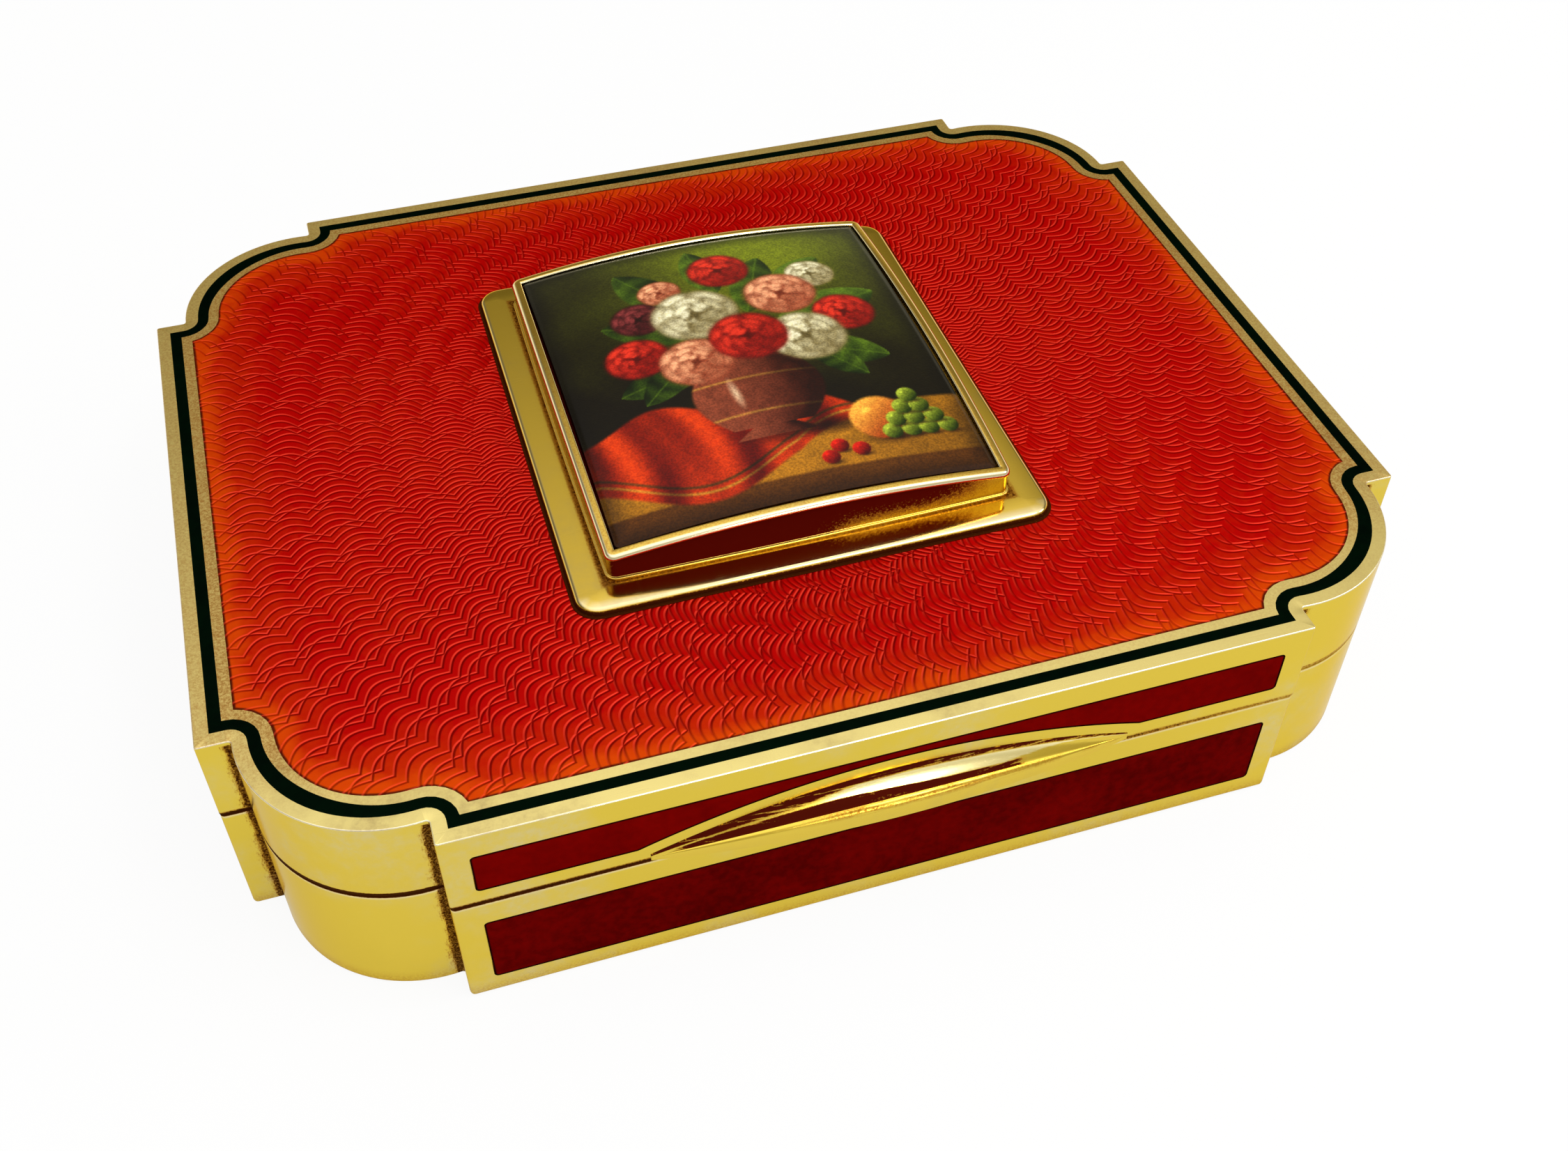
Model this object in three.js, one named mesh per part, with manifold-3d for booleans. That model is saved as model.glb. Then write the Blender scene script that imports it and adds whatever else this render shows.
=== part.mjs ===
// Table box in gilt metal and enamel, in millimetres, +Z up.
// The box stands on the XY plane with the middle of its outline at the origin.
// +X runs along the long side to the right, -Y is the front with the thumbpiece.
// The outline is a rectangle whose corners are stepped in and then rounded out.

import * as THREE from 'three';
import { mergeVertices } from 'three/addons/utils/BufferGeometryUtils.js';
import Module from 'manifold-3d';

const wasm = await Module();
wasm.setup();

// Outline of the box
const length = 110;
const width = 88.3;
const baseHeight = 13.35;
const lidHeight = 8.95;
const cornerLength = 16.9;        // from the corner of the rectangle to the step, on the long side
const cornerWidth = 15.1;         // the same on the short side
const stepLong = 2.25;            // depth of the step on the long side
const stepShort = 2.6;            // depth of the step on the short side
const cornerSweep = 94;           // degrees turned by the big rounded corner
const reflexRadius = 0.3;         // small fillet in the bottom of each step

// Sheet metal
const wall = 1.2;
const floorThickness = 1.2;
const topThickness = 1.6;
const topEdgeBevel = 0.2;
const solderGap = 0.1;            // seam between pieces soldered side by side

// Inner rim that the lid closes over
const linerThickness = 0.8;
const linerStand = 1.8;           // how far it stands above the parting line
const lidClearance = 0.3;         // between the inner rim and the lid's wall
const linerEdge = 0.2;            // bevel on its upper edge

// Lining of the lid, a shallow pan pressed in under the top
const liningThickness = 0.6;
const liningDrop = 2.3;           // from the top plate down to the lining's lower face

// Enamel of the lid's top
const inlayDepth = 0.6;           // depth of every cut that holds enamel
const inlayGap = 0.1;             // space around and under each piece of enamel
const lineOuter = 1.28;           // inset of the dark line's outer edge
const lineInner = 2.36;           // inset of its inner edge
const fieldInset = 3.37;          // inset of the red field

// Enamel panels of the sides
const panelEndMargin = 2.35;      // gold left between a panel and the step beside it
const panelCorner = 0.4;
const lidPanelTop = 2.65;         // below the top face
const lidPanelBottom = 1.75;      // above the parting line
const basePanelTop = 2.9;         // below the parting line
const basePanelBottom = 2.4;      // above the underside

// Hinge along the back
const hingeLength = 60;
const knuckleCount = 9;
const knuckleRadius = 1.4;
const knuckleGap = 0.3;
const knuckleEdge = 0.15;         // bevel on each end of a knuckle
const pinRadius = 0.5;
const pinClearance = 0.15;
const hingeClearance = 0.25;      // between the barrel and the channel it lies in
const axisInset = 0.6;            // from the back face forward to the hinge axis
const stopAngle = 104;            // degrees at which the bevelled back edges meet
const bearerThickness = 1.0;      // metal left between the channel and the inside
const bearerHeight = 3.5;
const bearerEnd = 2;              // bearer beyond each end of the barrel
const bearerRelief = 0.15;        // keeps the bearers off each other when the walls meet
const hingeStrip = 0.9;           // gold between the barrel's slot and the panel above it

// Thumbpiece
const thumbWidth = 43;
const thumbReach = 2.1;
const thumbApex = 3.45;           // top of the scoop above the lid's lower edge, in the middle
const thumbEnd = 0.75;            // the same at both ends
const thumbTip = 0.06;            // reach left at both ends
const lipThickness = 0.95;
const lipRound = 0.35;
const thumbBorder = 1.95;         // gold between the scoop and the enamel above it
const thumbBorderEnd = 1.0;       // extra half width of that gold at its ends

// Mount on the lid
const plateLength = 49.2;         // front to back
const plateWidth = 44.7;
const plateThickness = 0.8;
const plateCorner = 2.2;
const plateEdge = 0.25;           // rounding of the plate's edges
const bezelLength = 42.7;
const bezelWidth = 37.8;
const bezelHeight = 3.6;          // corners of the rim above the lid
const bezelWall = 0.85;
const bezelCorner = 0.8;
const collarReach = 0.38;         // how far the collar stands out round the bezel
const collarTop = 1.75;           // above the lid
const archAcross = 1.45;          // rise of the rim from the sides to the middle
const archAlong = 1.0;            // rise from front and back to the middle
const plaqueThickness = 1.1;
const plaqueSink = 0.15;          // plaque's edge below the rim
const plaqueGap = 0.15;
const plaqueLedge = 1.2;          // width of the ledge that carries the plaque

// Studs and nuts that hold the mount through the lid
const studRadius = 0.7;
const studHole = 1.0;
const studAcross = 28;            // spacing, left to right
const studAlong = 32;             // spacing, front to back
const nutAcrossFlats = 2.8;
const nutThickness = 0.9;
const nutBore = 0.85;
const studEnd = 0.3;              // stud left showing under the nut
const studChamfer = 0.15;

// Fineness of the curved faces
const arcSteps = 12;
const filletSteps = 4;
const cornerSteps = 3;
const bowSteps = 18;
const roundSteps = 24;
const crownSteps = 10;
const thumbStations = 24;
const beyond = 1;                 // how far cutting tools run past what they cut

// Places that follow from the sizes
const wallInside = wall;
const linerOutside = wall + lidClearance;
const linerInside = linerOutside + linerThickness;
const topUnder = lidHeight - topThickness;
const barrelSlot = knuckleRadius + hingeClearance;
const hingeY = width / 2 - axisInset;
const bearerBack = width / 2 - wall - solderGap;
const bearerFront = hingeY - barrelSlot - bearerThickness;
const bearerHalf = hingeLength / 2 + bearerEnd;
const stepHalfLong = length / 2 - cornerLength;
const stepHalfShort = width / 2 - cornerWidth;

// Finishes
const gilt = new THREE.MeshStandardMaterial({ color: 0xd9bd55, roughness: 0.24, metalness: 1 });
const giltInside = new THREE.MeshStandardMaterial({ color: 0xcfae4a, roughness: 0.38, metalness: 1 });
const steel = new THREE.MeshStandardMaterial({ color: 0xb9b6ad, roughness: 0.35, metalness: 1 });
const redEnamel = new THREE.MeshStandardMaterial({ color: 0xb5140f, roughness: 0.12, metalness: 0.2 });
const darkRedEnamel = new THREE.MeshStandardMaterial({ color: 0x6a0806, roughness: 0.15, metalness: 0.1 });
const blackEnamel = new THREE.MeshStandardMaterial({ color: 0x04100a, roughness: 0.1, metalness: 0 });
const painted = new THREE.MeshStandardMaterial({ color: 0x4a4a22, roughness: 0.15, metalness: 0 });

// Plane points on an arc, both ends included.
function arcPoints(centre, radius, from, to, steps) {
  const points = [];
  for (let i = 0; i <= steps; i += 1) {
    const angle = from + (to - from) * i / steps;
    points.push(new THREE.Vector2(centre.x + radius * Math.cos(angle), centre.y + radius * Math.sin(angle)));
  }
  return points;
}

// One corner of the outline, drawn in from the edge by an inset, from the step on the
// long side to the step on the short side. Insets keep the steps' tips sharp and round
// the bottoms of the steps, as a line drawn parallel to the edge does.
function cornerPoints(inset) {
  const fillet = inset + reflexRadius;
  const first = new THREE.Vector2(stepHalfLong + reflexRadius, stepLong - width / 2);
  const second = new THREE.Vector2(length / 2 - stepShort, -stepHalfShort - reflexRadius);
  const sweep = THREE.MathUtils.degToRad(cornerSweep);
  const chord = second.clone().sub(first);
  const radius = chord.length() / (2 * Math.sin(sweep / 2));
  const leave = chord.angle() - sweep / 2;
  const centre = new THREE.Vector2(Math.cos(leave + Math.PI / 2), Math.sin(leave + Math.PI / 2));
  centre.multiplyScalar(radius).add(first);

  const points = [];
  let filletFrom = Math.PI;
  if (inset < stepLong) {
    points.push(new THREE.Vector2(stepHalfLong - inset, inset - width / 2));
  } else {
    filletFrom -= Math.asin((inset - stepLong) / fillet);
  }
  points.push(...arcPoints(first, fillet, filletFrom, leave + Math.PI / 2, filletSteps));
  const big = arcPoints(centre, radius - fillet, leave - Math.PI / 2, leave + sweep - Math.PI / 2, arcSteps);
  points.push(...big.slice(1, -1));
  let filletTo = Math.PI / 2;
  if (inset >= stepShort) filletTo = Math.acos((stepShort - inset) / fillet);
  points.push(...arcPoints(second, fillet, leave + sweep + Math.PI / 2, filletTo, filletSteps));
  if (inset < stepShort) points.push(new THREE.Vector2(length / 2 - inset, inset - stepHalfShort));
  return points;
}

// The whole outline at an inset, counterclockwise from the front right corner.
function boxOutline(inset) {
  const corner = cornerPoints(inset);
  const mirrored = corner.map((p) => new THREE.Vector2(p.x, -p.y)).reverse();
  const right = corner.concat(mirrored);
  const left = right.map((p) => new THREE.Vector2(-p.x, -p.y));
  return right.concat(left);
}

// Upright solid between two levels, from an outline and the outlines of its holes.
function upright(outline, low, high, holes = []) {
  const shape = new THREE.Shape(outline);
  for (const hole of holes) shape.holes.push(new THREE.Path(hole));
  const solid = new THREE.ExtrudeGeometry(shape, { depth: high - low, bevelEnabled: false });
  return solid.translate(0, 0, low);
}

// Ring of the box's outline between two insets.
function outlineRing(outside, inside, low, high) {
  return upright(boxOutline(outside), low, high, [boxOutline(inside)]);
}

// Skin through a row of closed rings with the same number of points, closed at both ends.
function loft(rings) {
  const count = rings[0].length;
  const positions = rings.flat().flatMap((p) => [p.x, p.y, p.z]);
  const faces = [];
  for (let r = 0; r + 1 < rings.length; r += 1) {
    for (let i = 0; i < count; i += 1) {
      const a = r * count + i;
      const b = r * count + (i + 1) % count;
      faces.push(a, b, b + count, a, b + count, a + count);
    }
  }
  const last = (rings.length - 1) * count;
  for (const [ring, start, turned] of [[rings[0], 0, true], [rings.at(-1), last, false]]) {
    const normal = new THREE.Vector3();
    for (let i = 1; i + 1 < count; i += 1) {
      const side = ring[i].clone().sub(ring[0]);
      normal.add(side.cross(ring[i + 1].clone().sub(ring[0])));
    }
    const across = ring[1].clone().sub(ring[0]).normalize();
    const up = normal.normalize().clone().cross(across);
    const flat = ring.map((p) => new THREE.Vector2(p.dot(across), p.dot(up)));
    for (const [a, b, c] of THREE.ShapeUtils.triangulateShape(flat, [])) {
      faces.push(...(turned ? [start + a, start + c, start + b] : [start + a, start + b, start + c]));
    }
  }
  const geometry = new THREE.BufferGeometry();
  geometry.setAttribute('position', new THREE.Float32BufferAttribute(positions, 3));
  geometry.setIndex(faces);
  return geometry;
}

// Outline raised through levels, each with its own inset.
function outlineStack(levels) {
  return loft(levels.map(([inset, z]) => boxOutline(inset).map((p) => new THREE.Vector3(p.x, p.y, z))));
}

// Solid that can be joined and cut, from a closed geometry.
function toSolid(geometry) {
  const bare = geometry.clone();
  for (const name of Object.keys(bare.attributes)) {
    if (name !== 'position') bare.deleteAttribute(name);
  }
  const merged = mergeVertices(bare, 1e-4);
  const corners = merged.index.array;
  const triangles = [];
  for (let i = 0; i < corners.length; i += 3) {
    const [a, b, c] = [corners[i], corners[i + 1], corners[i + 2]];
    if (a !== b && b !== c && c !== a) triangles.push(a, b, c);
  }
  return new wasm.Manifold(new wasm.Mesh({
    numProp: 3,
    vertProperties: new Float32Array(merged.attributes.position.array),
    triVerts: new Uint32Array(triangles),
  }));
}

// Geometry of a joined or cut solid.
function toGeometry(solid) {
  const mesh = solid.getMesh();
  const geometry = new THREE.BufferGeometry();
  geometry.setAttribute('position', new THREE.BufferAttribute(new Float32Array(mesh.vertProperties), 3));
  geometry.setIndex(new THREE.BufferAttribute(new Uint32Array(mesh.triVerts), 1));
  const loose = geometry.toNonIndexed();
  loose.computeVertexNormals();
  return loose;
}

// A geometry with tools cut out of it.
function cut(geometry, tools) {
  let solid = toSolid(geometry);
  for (const tool of tools) solid = solid.subtract(toSolid(tool));
  return toGeometry(solid);
}

// Round bar along X, centred on a line at a height and a distance back.
function barAlongX(radius, span, y, z) {
  const bar = new THREE.CylinderGeometry(radius, radius, span, roundSteps);
  return bar.rotateZ(Math.PI / 2).translate(0, y, z);
}

// Block between two corners.
function block(low, high) {
  const size = new THREE.Vector3().subVectors(high, low);
  const middle = new THREE.Vector3().addVectors(low, high).multiplyScalar(0.5);
  return new THREE.BoxGeometry(size.x, size.y, size.z).translate(middle.x, middle.y, middle.z);
}

// Named mesh added to its group.
function addPiece(group, name, geometry, material) {
  const mesh = new THREE.Mesh(geometry, material);
  mesh.name = name;
  group.add(mesh);
  return mesh;
}

// The four sides of the box, by the turn from the front and the distance from the middle.
const sides = [
  { name: 'front', turn: 0, reach: width / 2, half: stepHalfLong },
  { name: 'right', turn: Math.PI / 2, reach: length / 2, half: stepHalfShort },
  { name: 'back', turn: Math.PI, reach: width / 2, half: stepHalfLong },
  { name: 'left', turn: -Math.PI / 2, reach: length / 2, half: stepHalfShort },
];

// Circle through two points level with each other and one above their middle.
function bowCircle(halfChord, chordLevel, apexLevel) {
  const rise = apexLevel - chordLevel;
  const radius = (halfChord ** 2 + rise ** 2) / (2 * rise);
  return { radius, centre: apexLevel - radius };
}

// Bow over the thumbpiece where the enamel above it stops.
const thumbBow = bowCircle(thumbWidth / 2 + thumbBorderEnd, lidPanelBottom, thumbApex + thumbBorder);

// Flat shape of a side panel, wider all round by grow. A bow cuts into its lower edge.
function panelShape(half, low, high, grow, bow) {
  const right = half - panelEndMargin + grow;
  const bottom = low - grow;
  const top = high + grow;
  const r = panelCorner + grow;
  const quarter = Math.PI / 2;
  const points = [];
  if (bow) {
    const bowRadius = bow.radius - grow;
    const angle = Math.asin((bottom - bow.centre) / bowRadius);
    const middle = new THREE.Vector2(0, bow.centre);
    points.push(...arcPoints(middle, bowRadius, Math.PI - angle, angle, bowSteps));
  }
  const corners = [
    [right - r, bottom + r, -quarter],
    [right - r, top - r, 0],
    [-right + r, top - r, quarter],
    [-right + r, bottom + r, 2 * quarter],
  ];
  for (const [x, z, from] of corners) {
    points.push(...arcPoints(new THREE.Vector2(x, z), r, from, from + quarter, cornerSteps));
  }
  return new THREE.Shape(points);
}

// Solid on a panel's shape, from a depth behind the side's face to a height before it.
function panelSolid(shape, depth, height) {
  const solid = new THREE.ExtrudeGeometry(shape, { depth: depth + height, bevelEnabled: false });
  return solid.translate(0, 0, -depth).rotateX(Math.PI / 2);
}

// Turns a solid made for the front onto one of the four sides.
function ontoSide(geometry, side) {
  return geometry.translate(0, -side.reach, 0).rotateZ(side.turn);
}

// Levels of the panel on one side of the lid or the base.
function lidPanelLevels(side) {
  const low = side.name === 'back' ? barrelSlot + hingeStrip : lidPanelBottom;
  return [low, lidHeight - lidPanelTop];
}

function basePanelLevels() {
  return [basePanelBottom, baseHeight - basePanelTop];
}

// Adds the four panels of the lid or the base to its group.
function addPanels(group, prefix, levels, bowAt) {
  for (const side of sides) {
    const [low, high] = levels(side);
    const shape = panelShape(side.half, low, high, 0, side.name === bowAt ? thumbBow : null);
    const panel = panelSolid(shape, inlayDepth - inlayGap, 0);
    const mesh = addPiece(group, `${prefix}_panel_${side.name}`, panel, darkRedEnamel);
    mesh.position.set(side.reach * Math.sin(side.turn), -side.reach * Math.cos(side.turn), 0);
    mesh.rotation.z = side.turn;
  }
}

// Tools that cut the panels' beds into the walls.
function panelBeds(levels, bowAt) {
  return sides.map((side) => {
    const [low, high] = levels(side);
    const shape = panelShape(side.half, low, high, inlayGap, side.name === bowAt ? thumbBow : null);
    return ontoSide(panelSolid(shape, inlayDepth, beyond), side);
  });
}

// Bevel along the back edge at the parting line, on one side of it. The two bevels meet
// on the hinge axis and leave the lid room to open as far as the stop angle.
function stopBevel(partingLevel, direction) {
  const reach = axisInset + beyond;
  const drop = reach * Math.tan(THREE.MathUtils.degToRad(stopAngle / 2));
  const span = 2 * (stepHalfLong + beyond);
  const corners = [[0, 0], [reach, 0], [reach, direction * drop]];
  if (direction < 0) corners.reverse();
  const shape = new THREE.Shape(corners.map(([y, z]) => new THREE.Vector2(y, z)));
  const prism = new THREE.ExtrudeGeometry(shape, { depth: span, bevelEnabled: false });
  // the profile's axes are Y and Z, and the prism runs along X
  prism.applyMatrix4(new THREE.Matrix4().makeBasis(
    new THREE.Vector3(0, 1, 0),
    new THREE.Vector3(0, 0, 1),
    new THREE.Vector3(1, 0, 0),
  ));
  return prism.translate(-span / 2, hingeY, partingLevel);
}

// Slot for the hinge barrel.
function barrelTool(partingLevel) {
  return barAlongX(barrelSlot, hingeLength + 2 * knuckleGap, hingeY, partingLevel);
}

// Bearer strip inside the back wall, on one side of the parting line.
function bearerGeometry(partingLevel, direction) {
  const near = partingLevel + direction * bearerRelief;
  const far = partingLevel + direction * bearerHeight;
  const strip = block(
    new THREE.Vector3(-bearerHalf, bearerFront, Math.min(near, far)),
    new THREE.Vector3(bearerHalf, bearerBack, Math.max(near, far)),
  );
  return cut(strip, [barAlongX(barrelSlot, 2 * bearerHalf + beyond, hingeY, partingLevel)]);
}

// Base

function baseWall() {
  const ring = outlineRing(0, wallInside, 0, baseHeight);
  return cut(ring, [...panelBeds(basePanelLevels, null), stopBevel(baseHeight, -1), barrelTool(baseHeight)]);
}

// The inner rim stands on the floor and gives way to the hinge bearer at the back.
function baseLiner() {
  const top = baseHeight + linerStand;
  const outside = outlineStack([
    [linerOutside, floorThickness],
    [linerOutside, top - linerEdge],
    [linerOutside + linerEdge, top],
  ]);
  const hollow = upright(boxOutline(linerInside), floorThickness - beyond, top + beyond);
  const roomHalf = bearerHalf + lidClearance;
  const roomLow = baseHeight - bearerHeight - lidClearance;
  const bearerRoom = block(
    new THREE.Vector3(-roomHalf, bearerFront - lidClearance, roomLow),
    new THREE.Vector3(roomHalf, width / 2, top + beyond),
  );
  return cut(outside, [hollow, bearerRoom]);
}

function buildBase() {
  const group = new THREE.Group();
  addPiece(group, 'base_wall', baseWall(), gilt);
  addPiece(group, 'base_floor', upright(boxOutline(wallInside + solderGap), 0, floorThickness), gilt);
  addPiece(group, 'base_inner_rim', baseLiner(), giltInside);
  addPanels(group, 'base', basePanelLevels, null);
  addPiece(group, 'base_hinge_bearer', bearerGeometry(baseHeight, -1), giltInside);
  return group;
}

// Hinge: knuckles of base and lid in turn along one pin

function knuckleGeometry(span) {
  const bore = pinRadius + pinClearance;
  const profile = [
    [bore, -span / 2],
    [knuckleRadius - knuckleEdge, -span / 2],
    [knuckleRadius, -span / 2 + knuckleEdge],
    [knuckleRadius, span / 2 - knuckleEdge],
    [knuckleRadius - knuckleEdge, span / 2],
    [bore, span / 2],
    [bore, -span / 2],
  ].map(([r, y]) => new THREE.Vector2(r, y));
  return new THREE.LatheGeometry(profile, roundSteps).rotateZ(Math.PI / 2);
}

function addKnuckles(baseHinge, lidHinge) {
  const span = (hingeLength - (knuckleCount - 1) * knuckleGap) / knuckleCount;
  for (let i = 0; i < knuckleCount; i += 1) {
    const onBase = i % 2 === 0;
    const group = onBase ? baseHinge : lidHinge;
    const name = `${onBase ? 'base' : 'lid'}_knuckle_${Math.floor(i / 2) + 1}`;
    const knuckle = addPiece(group, name, knuckleGeometry(span), gilt);
    knuckle.position.x = -hingeLength / 2 + span / 2 + i * (span + knuckleGap);
  }
}

// Lid

function lidWall() {
  const ring = outlineRing(0, wallInside, 0, topUnder);
  return cut(ring, [...panelBeds(lidPanelLevels, 'front'), stopBevel(0, 1), barrelTool(0)]);
}

// Places of the four studs.
const studPlaces = [];
for (const across of [-1, 1]) {
  for (const along of [-1, 1]) {
    studPlaces.push(new THREE.Vector2(across * studAcross / 2, along * studAlong / 2));
  }
}

// Points round a full circle.
function circlePoints(centre, radius) {
  return arcPoints(centre, radius, 0, 2 * Math.PI, arcSteps).slice(0, -1);
}

function studHolePoints(place) {
  return circlePoints(place, studHole);
}

function lidTop() {
  const plate = outlineStack([[0, topUnder], [0, lidHeight - topEdgeBevel], [topEdgeBevel, lidHeight]]);
  const bed = lidHeight - inlayDepth;
  const over = lidHeight + beyond;
  const lineBed = outlineRing(lineOuter, lineInner, bed, over);
  const fieldBed = upright(boxOutline(fieldInset), bed, over);
  const holes = studPlaces.map((place) => upright(studHolePoints(place), topUnder - beyond, over));
  return cut(plate, [lineBed, fieldBed, ...holes]);
}

function lidEnamel() {
  const under = lidHeight - inlayDepth + inlayGap;
  return upright(boxOutline(fieldInset + inlayGap), under, lidHeight, studPlaces.map(studHolePoints));
}

function lidLine() {
  const under = lidHeight - inlayDepth + inlayGap;
  return outlineRing(lineOuter + inlayGap, lineInner - inlayGap, under, lidHeight);
}

// Pan with its rim against the top plate, which leaves room above it for the nuts.
function lidLining() {
  const edge = wall + lidClearance;
  const under = topUnder - liningDrop;
  const pan = upright(boxOutline(edge), under, topUnder);
  return cut(pan, [upright(boxOutline(edge + liningThickness), under + liningThickness, topUnder + beyond)]);
}

// Scooped crescent, drawn as upright sections from its left end to its right end.
function thumbGeometry() {
  const half = thumbWidth / 2;
  const root = bowCircle(half, thumbEnd, thumbApex);
  const plan = bowCircle(half, thumbTip, thumbReach);
  const coveSteps = 8;
  const lipSteps = 5;
  const rings = [];
  for (let s = 0; s <= thumbStations; s += 1) {
    const x = -half * Math.cos(Math.PI * s / thumbStations);
    const top = root.centre + Math.sqrt(root.radius ** 2 - x ** 2);
    const reach = plan.centre + Math.sqrt(plan.radius ** 2 - x ** 2);
    const lip = lipThickness * top / thumbApex;
    const round = lipRound * reach / thumbReach;
    const ring = [new THREE.Vector3(x, 0, 0)];
    for (let i = 0; i <= lipSteps; i += 1) {
      const angle = Math.PI * (i / lipSteps - 0.5);
      const out = reach - round + round * Math.cos(angle);
      ring.push(new THREE.Vector3(x, -out, lip / 2 + lip / 2 * Math.sin(angle)));
    }
    for (let i = coveSteps - 1; i >= 0; i -= 1) {
      const angle = Math.PI / 2 * i / coveSteps;
      const out = (reach - round) * (1 - Math.cos(angle));
      ring.push(new THREE.Vector3(x, -out, top - (top - lip) * Math.sin(angle)));
    }
    rings.push(ring.reverse());
  }
  return loft(rings).translate(0, -width / 2, 0);
}

function buildLid() {
  const group = new THREE.Group();
  addPiece(group, 'lid_wall', lidWall(), gilt);
  addPiece(group, 'lid_top_plate', lidTop(), gilt);
  addPiece(group, 'lid_border_line', lidLine(), blackEnamel);
  addPiece(group, 'lid_enamel_field', lidEnamel(), redEnamel);
  addPiece(group, 'lid_lining', lidLining(), giltInside);
  addPanels(group, 'lid', lidPanelLevels, 'front');
  addPiece(group, 'thumbpiece', thumbGeometry(), gilt);
  addPiece(group, 'lid_hinge_bearer', bearerGeometry(0, 1), giltInside);
  return group;
}

// Mount with the painted plaque, drawn from the lid's top face upwards

// Rectangle with round corners, centred.
function roundedRectangle(across, along, radius) {
  const points = [];
  for (let quarter = 0; quarter < 4; quarter += 1) {
    const sx = quarter === 0 || quarter === 3 ? 1 : -1;
    const sy = quarter < 2 ? 1 : -1;
    const centre = new THREE.Vector2(sx * (across / 2 - radius), sy * (along / 2 - radius));
    const from = quarter * Math.PI / 2;
    points.push(...arcPoints(centre, radius, from, from + Math.PI / 2, filletSteps));
  }
  return points;
}

// Block whose upper face is crowned both ways like the bezel's rim, lowered by drop.
function crownBlock(drop) {
  const halfAcross = bezelWidth / 2;
  const halfAlong = bezelLength / 2;
  const rows = [];
  for (let j = 0; j <= crownSteps; j += 1) {
    const v = -1 + 2 * j / crownSteps;
    const row = [];
    for (let i = 0; i <= crownSteps; i += 1) {
      const u = -1 + 2 * i / crownSteps;
      const rise = archAcross * (1 - u ** 2) + archAlong * (1 - v ** 2);
      row.push(new THREE.Vector3(u * halfAcross, v * halfAlong, bezelHeight + rise - drop));
    }
    const under = [...row].reverse().map((p) => new THREE.Vector3(p.x, p.y, -beyond));
    rows.push(row.concat(under));
  }
  return loft(rows);
}

// What lies of a geometry under the crown lowered by drop.
function underCrown(geometry, drop) {
  return toSolid(geometry).intersect(toSolid(crownBlock(drop)));
}

function bezelGeometry() {
  const innerAcross = bezelWidth - 2 * bezelWall;
  const innerAlong = bezelLength - 2 * bezelWall;
  const innerCorner = bezelCorner / 2;
  const high = bezelHeight + archAcross + archAlong + beyond;
  const hole = roundedRectangle(innerAcross, innerAlong, innerCorner);
  const outer = roundedRectangle(bezelWidth, bezelLength, bezelCorner);
  const wallRing = upright(outer, plateThickness, high, [hole]);
  const ledgeHole = roundedRectangle(innerAcross - 2 * plaqueLedge, innerAlong - 2 * plaqueLedge, innerCorner);
  // the ledge runs out under the wall so that the two join
  const ledgeOuter = roundedRectangle(innerAcross + bezelWall, innerAlong + bezelWall, innerCorner);
  const ledge = upright(ledgeOuter, plateThickness, high, [ledgeHole]);
  const collar = upright(
    roundedRectangle(bezelWidth + 2 * collarReach, bezelLength + 2 * collarReach, bezelCorner + collarReach),
    plateThickness,
    collarTop,
    [hole],
  );
  const seat = plaqueSink + plaqueThickness + plaqueGap;
  const joined = underCrown(wallRing, 0).add(underCrown(ledge, seat)).add(toSolid(collar));
  return toGeometry(joined);
}

function plaqueGeometry() {
  const across = bezelWidth - 2 * bezelWall - 2 * plaqueGap;
  const along = bezelLength - 2 * bezelWall - 2 * plaqueGap;
  const high = bezelHeight + archAcross + archAlong + beyond;
  const slab = upright(roundedRectangle(across, along, bezelCorner / 2), plateThickness, high);
  const under = toSolid(crownBlock(plaqueSink + plaqueThickness));
  return toGeometry(underCrown(slab, plaqueSink).subtract(under));
}

function mountPlate() {
  const shape = new THREE.Shape(roundedRectangle(
    plateWidth - 2 * plateEdge,
    plateLength - 2 * plateEdge,
    plateCorner - plateEdge,
  ));
  return new THREE.ExtrudeGeometry(shape, {
    depth: plateThickness - 2 * plateEdge,
    bevelEnabled: true,
    bevelThickness: plateEdge,
    bevelSize: plateEdge,
    bevelSegments: 3,
  }).translate(0, 0, plateEdge);
}

// Stud hanging from the plate's underside.
function studGeometry() {
  const reach = topThickness + nutThickness + studEnd;
  const profile = [
    [0, -reach],
    [studRadius - studChamfer, -reach],
    [studRadius, -reach + studChamfer],
    [studRadius, 0],
    [0, 0],
  ].map(([r, z]) => new THREE.Vector2(r, z));
  return new THREE.LatheGeometry(profile, arcSteps).rotateX(Math.PI / 2);
}

function nutGeometry() {
  const corner = nutAcrossFlats / Math.sqrt(3);
  const hexagon = arcPoints(new THREE.Vector2(), corner, 0, 2 * Math.PI, 6).slice(0, -1);
  const bore = circlePoints(new THREE.Vector2(), nutBore);
  return upright(hexagon, -topThickness - nutThickness, -topThickness, [bore]);
}

function buildMount() {
  const group = new THREE.Group();
  addPiece(group, 'mount_plate', mountPlate(), gilt);
  addPiece(group, 'mount_bezel', bezelGeometry(), gilt);
  addPiece(group, 'mount_plaque', plaqueGeometry(), painted);
  studPlaces.forEach((place, i) => {
    const stud = addPiece(group, `mount_stud_${i + 1}`, studGeometry(), gilt);
    const nut = addPiece(group, `mount_nut_${i + 1}`, nutGeometry(), steel);
    stud.position.set(place.x, place.y, 0);
    nut.position.set(place.x, place.y, 0);
  });
  return group;
}

// Whole box: the lid sits on the base, the mount on the lid, and the hinge on its axis

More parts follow.
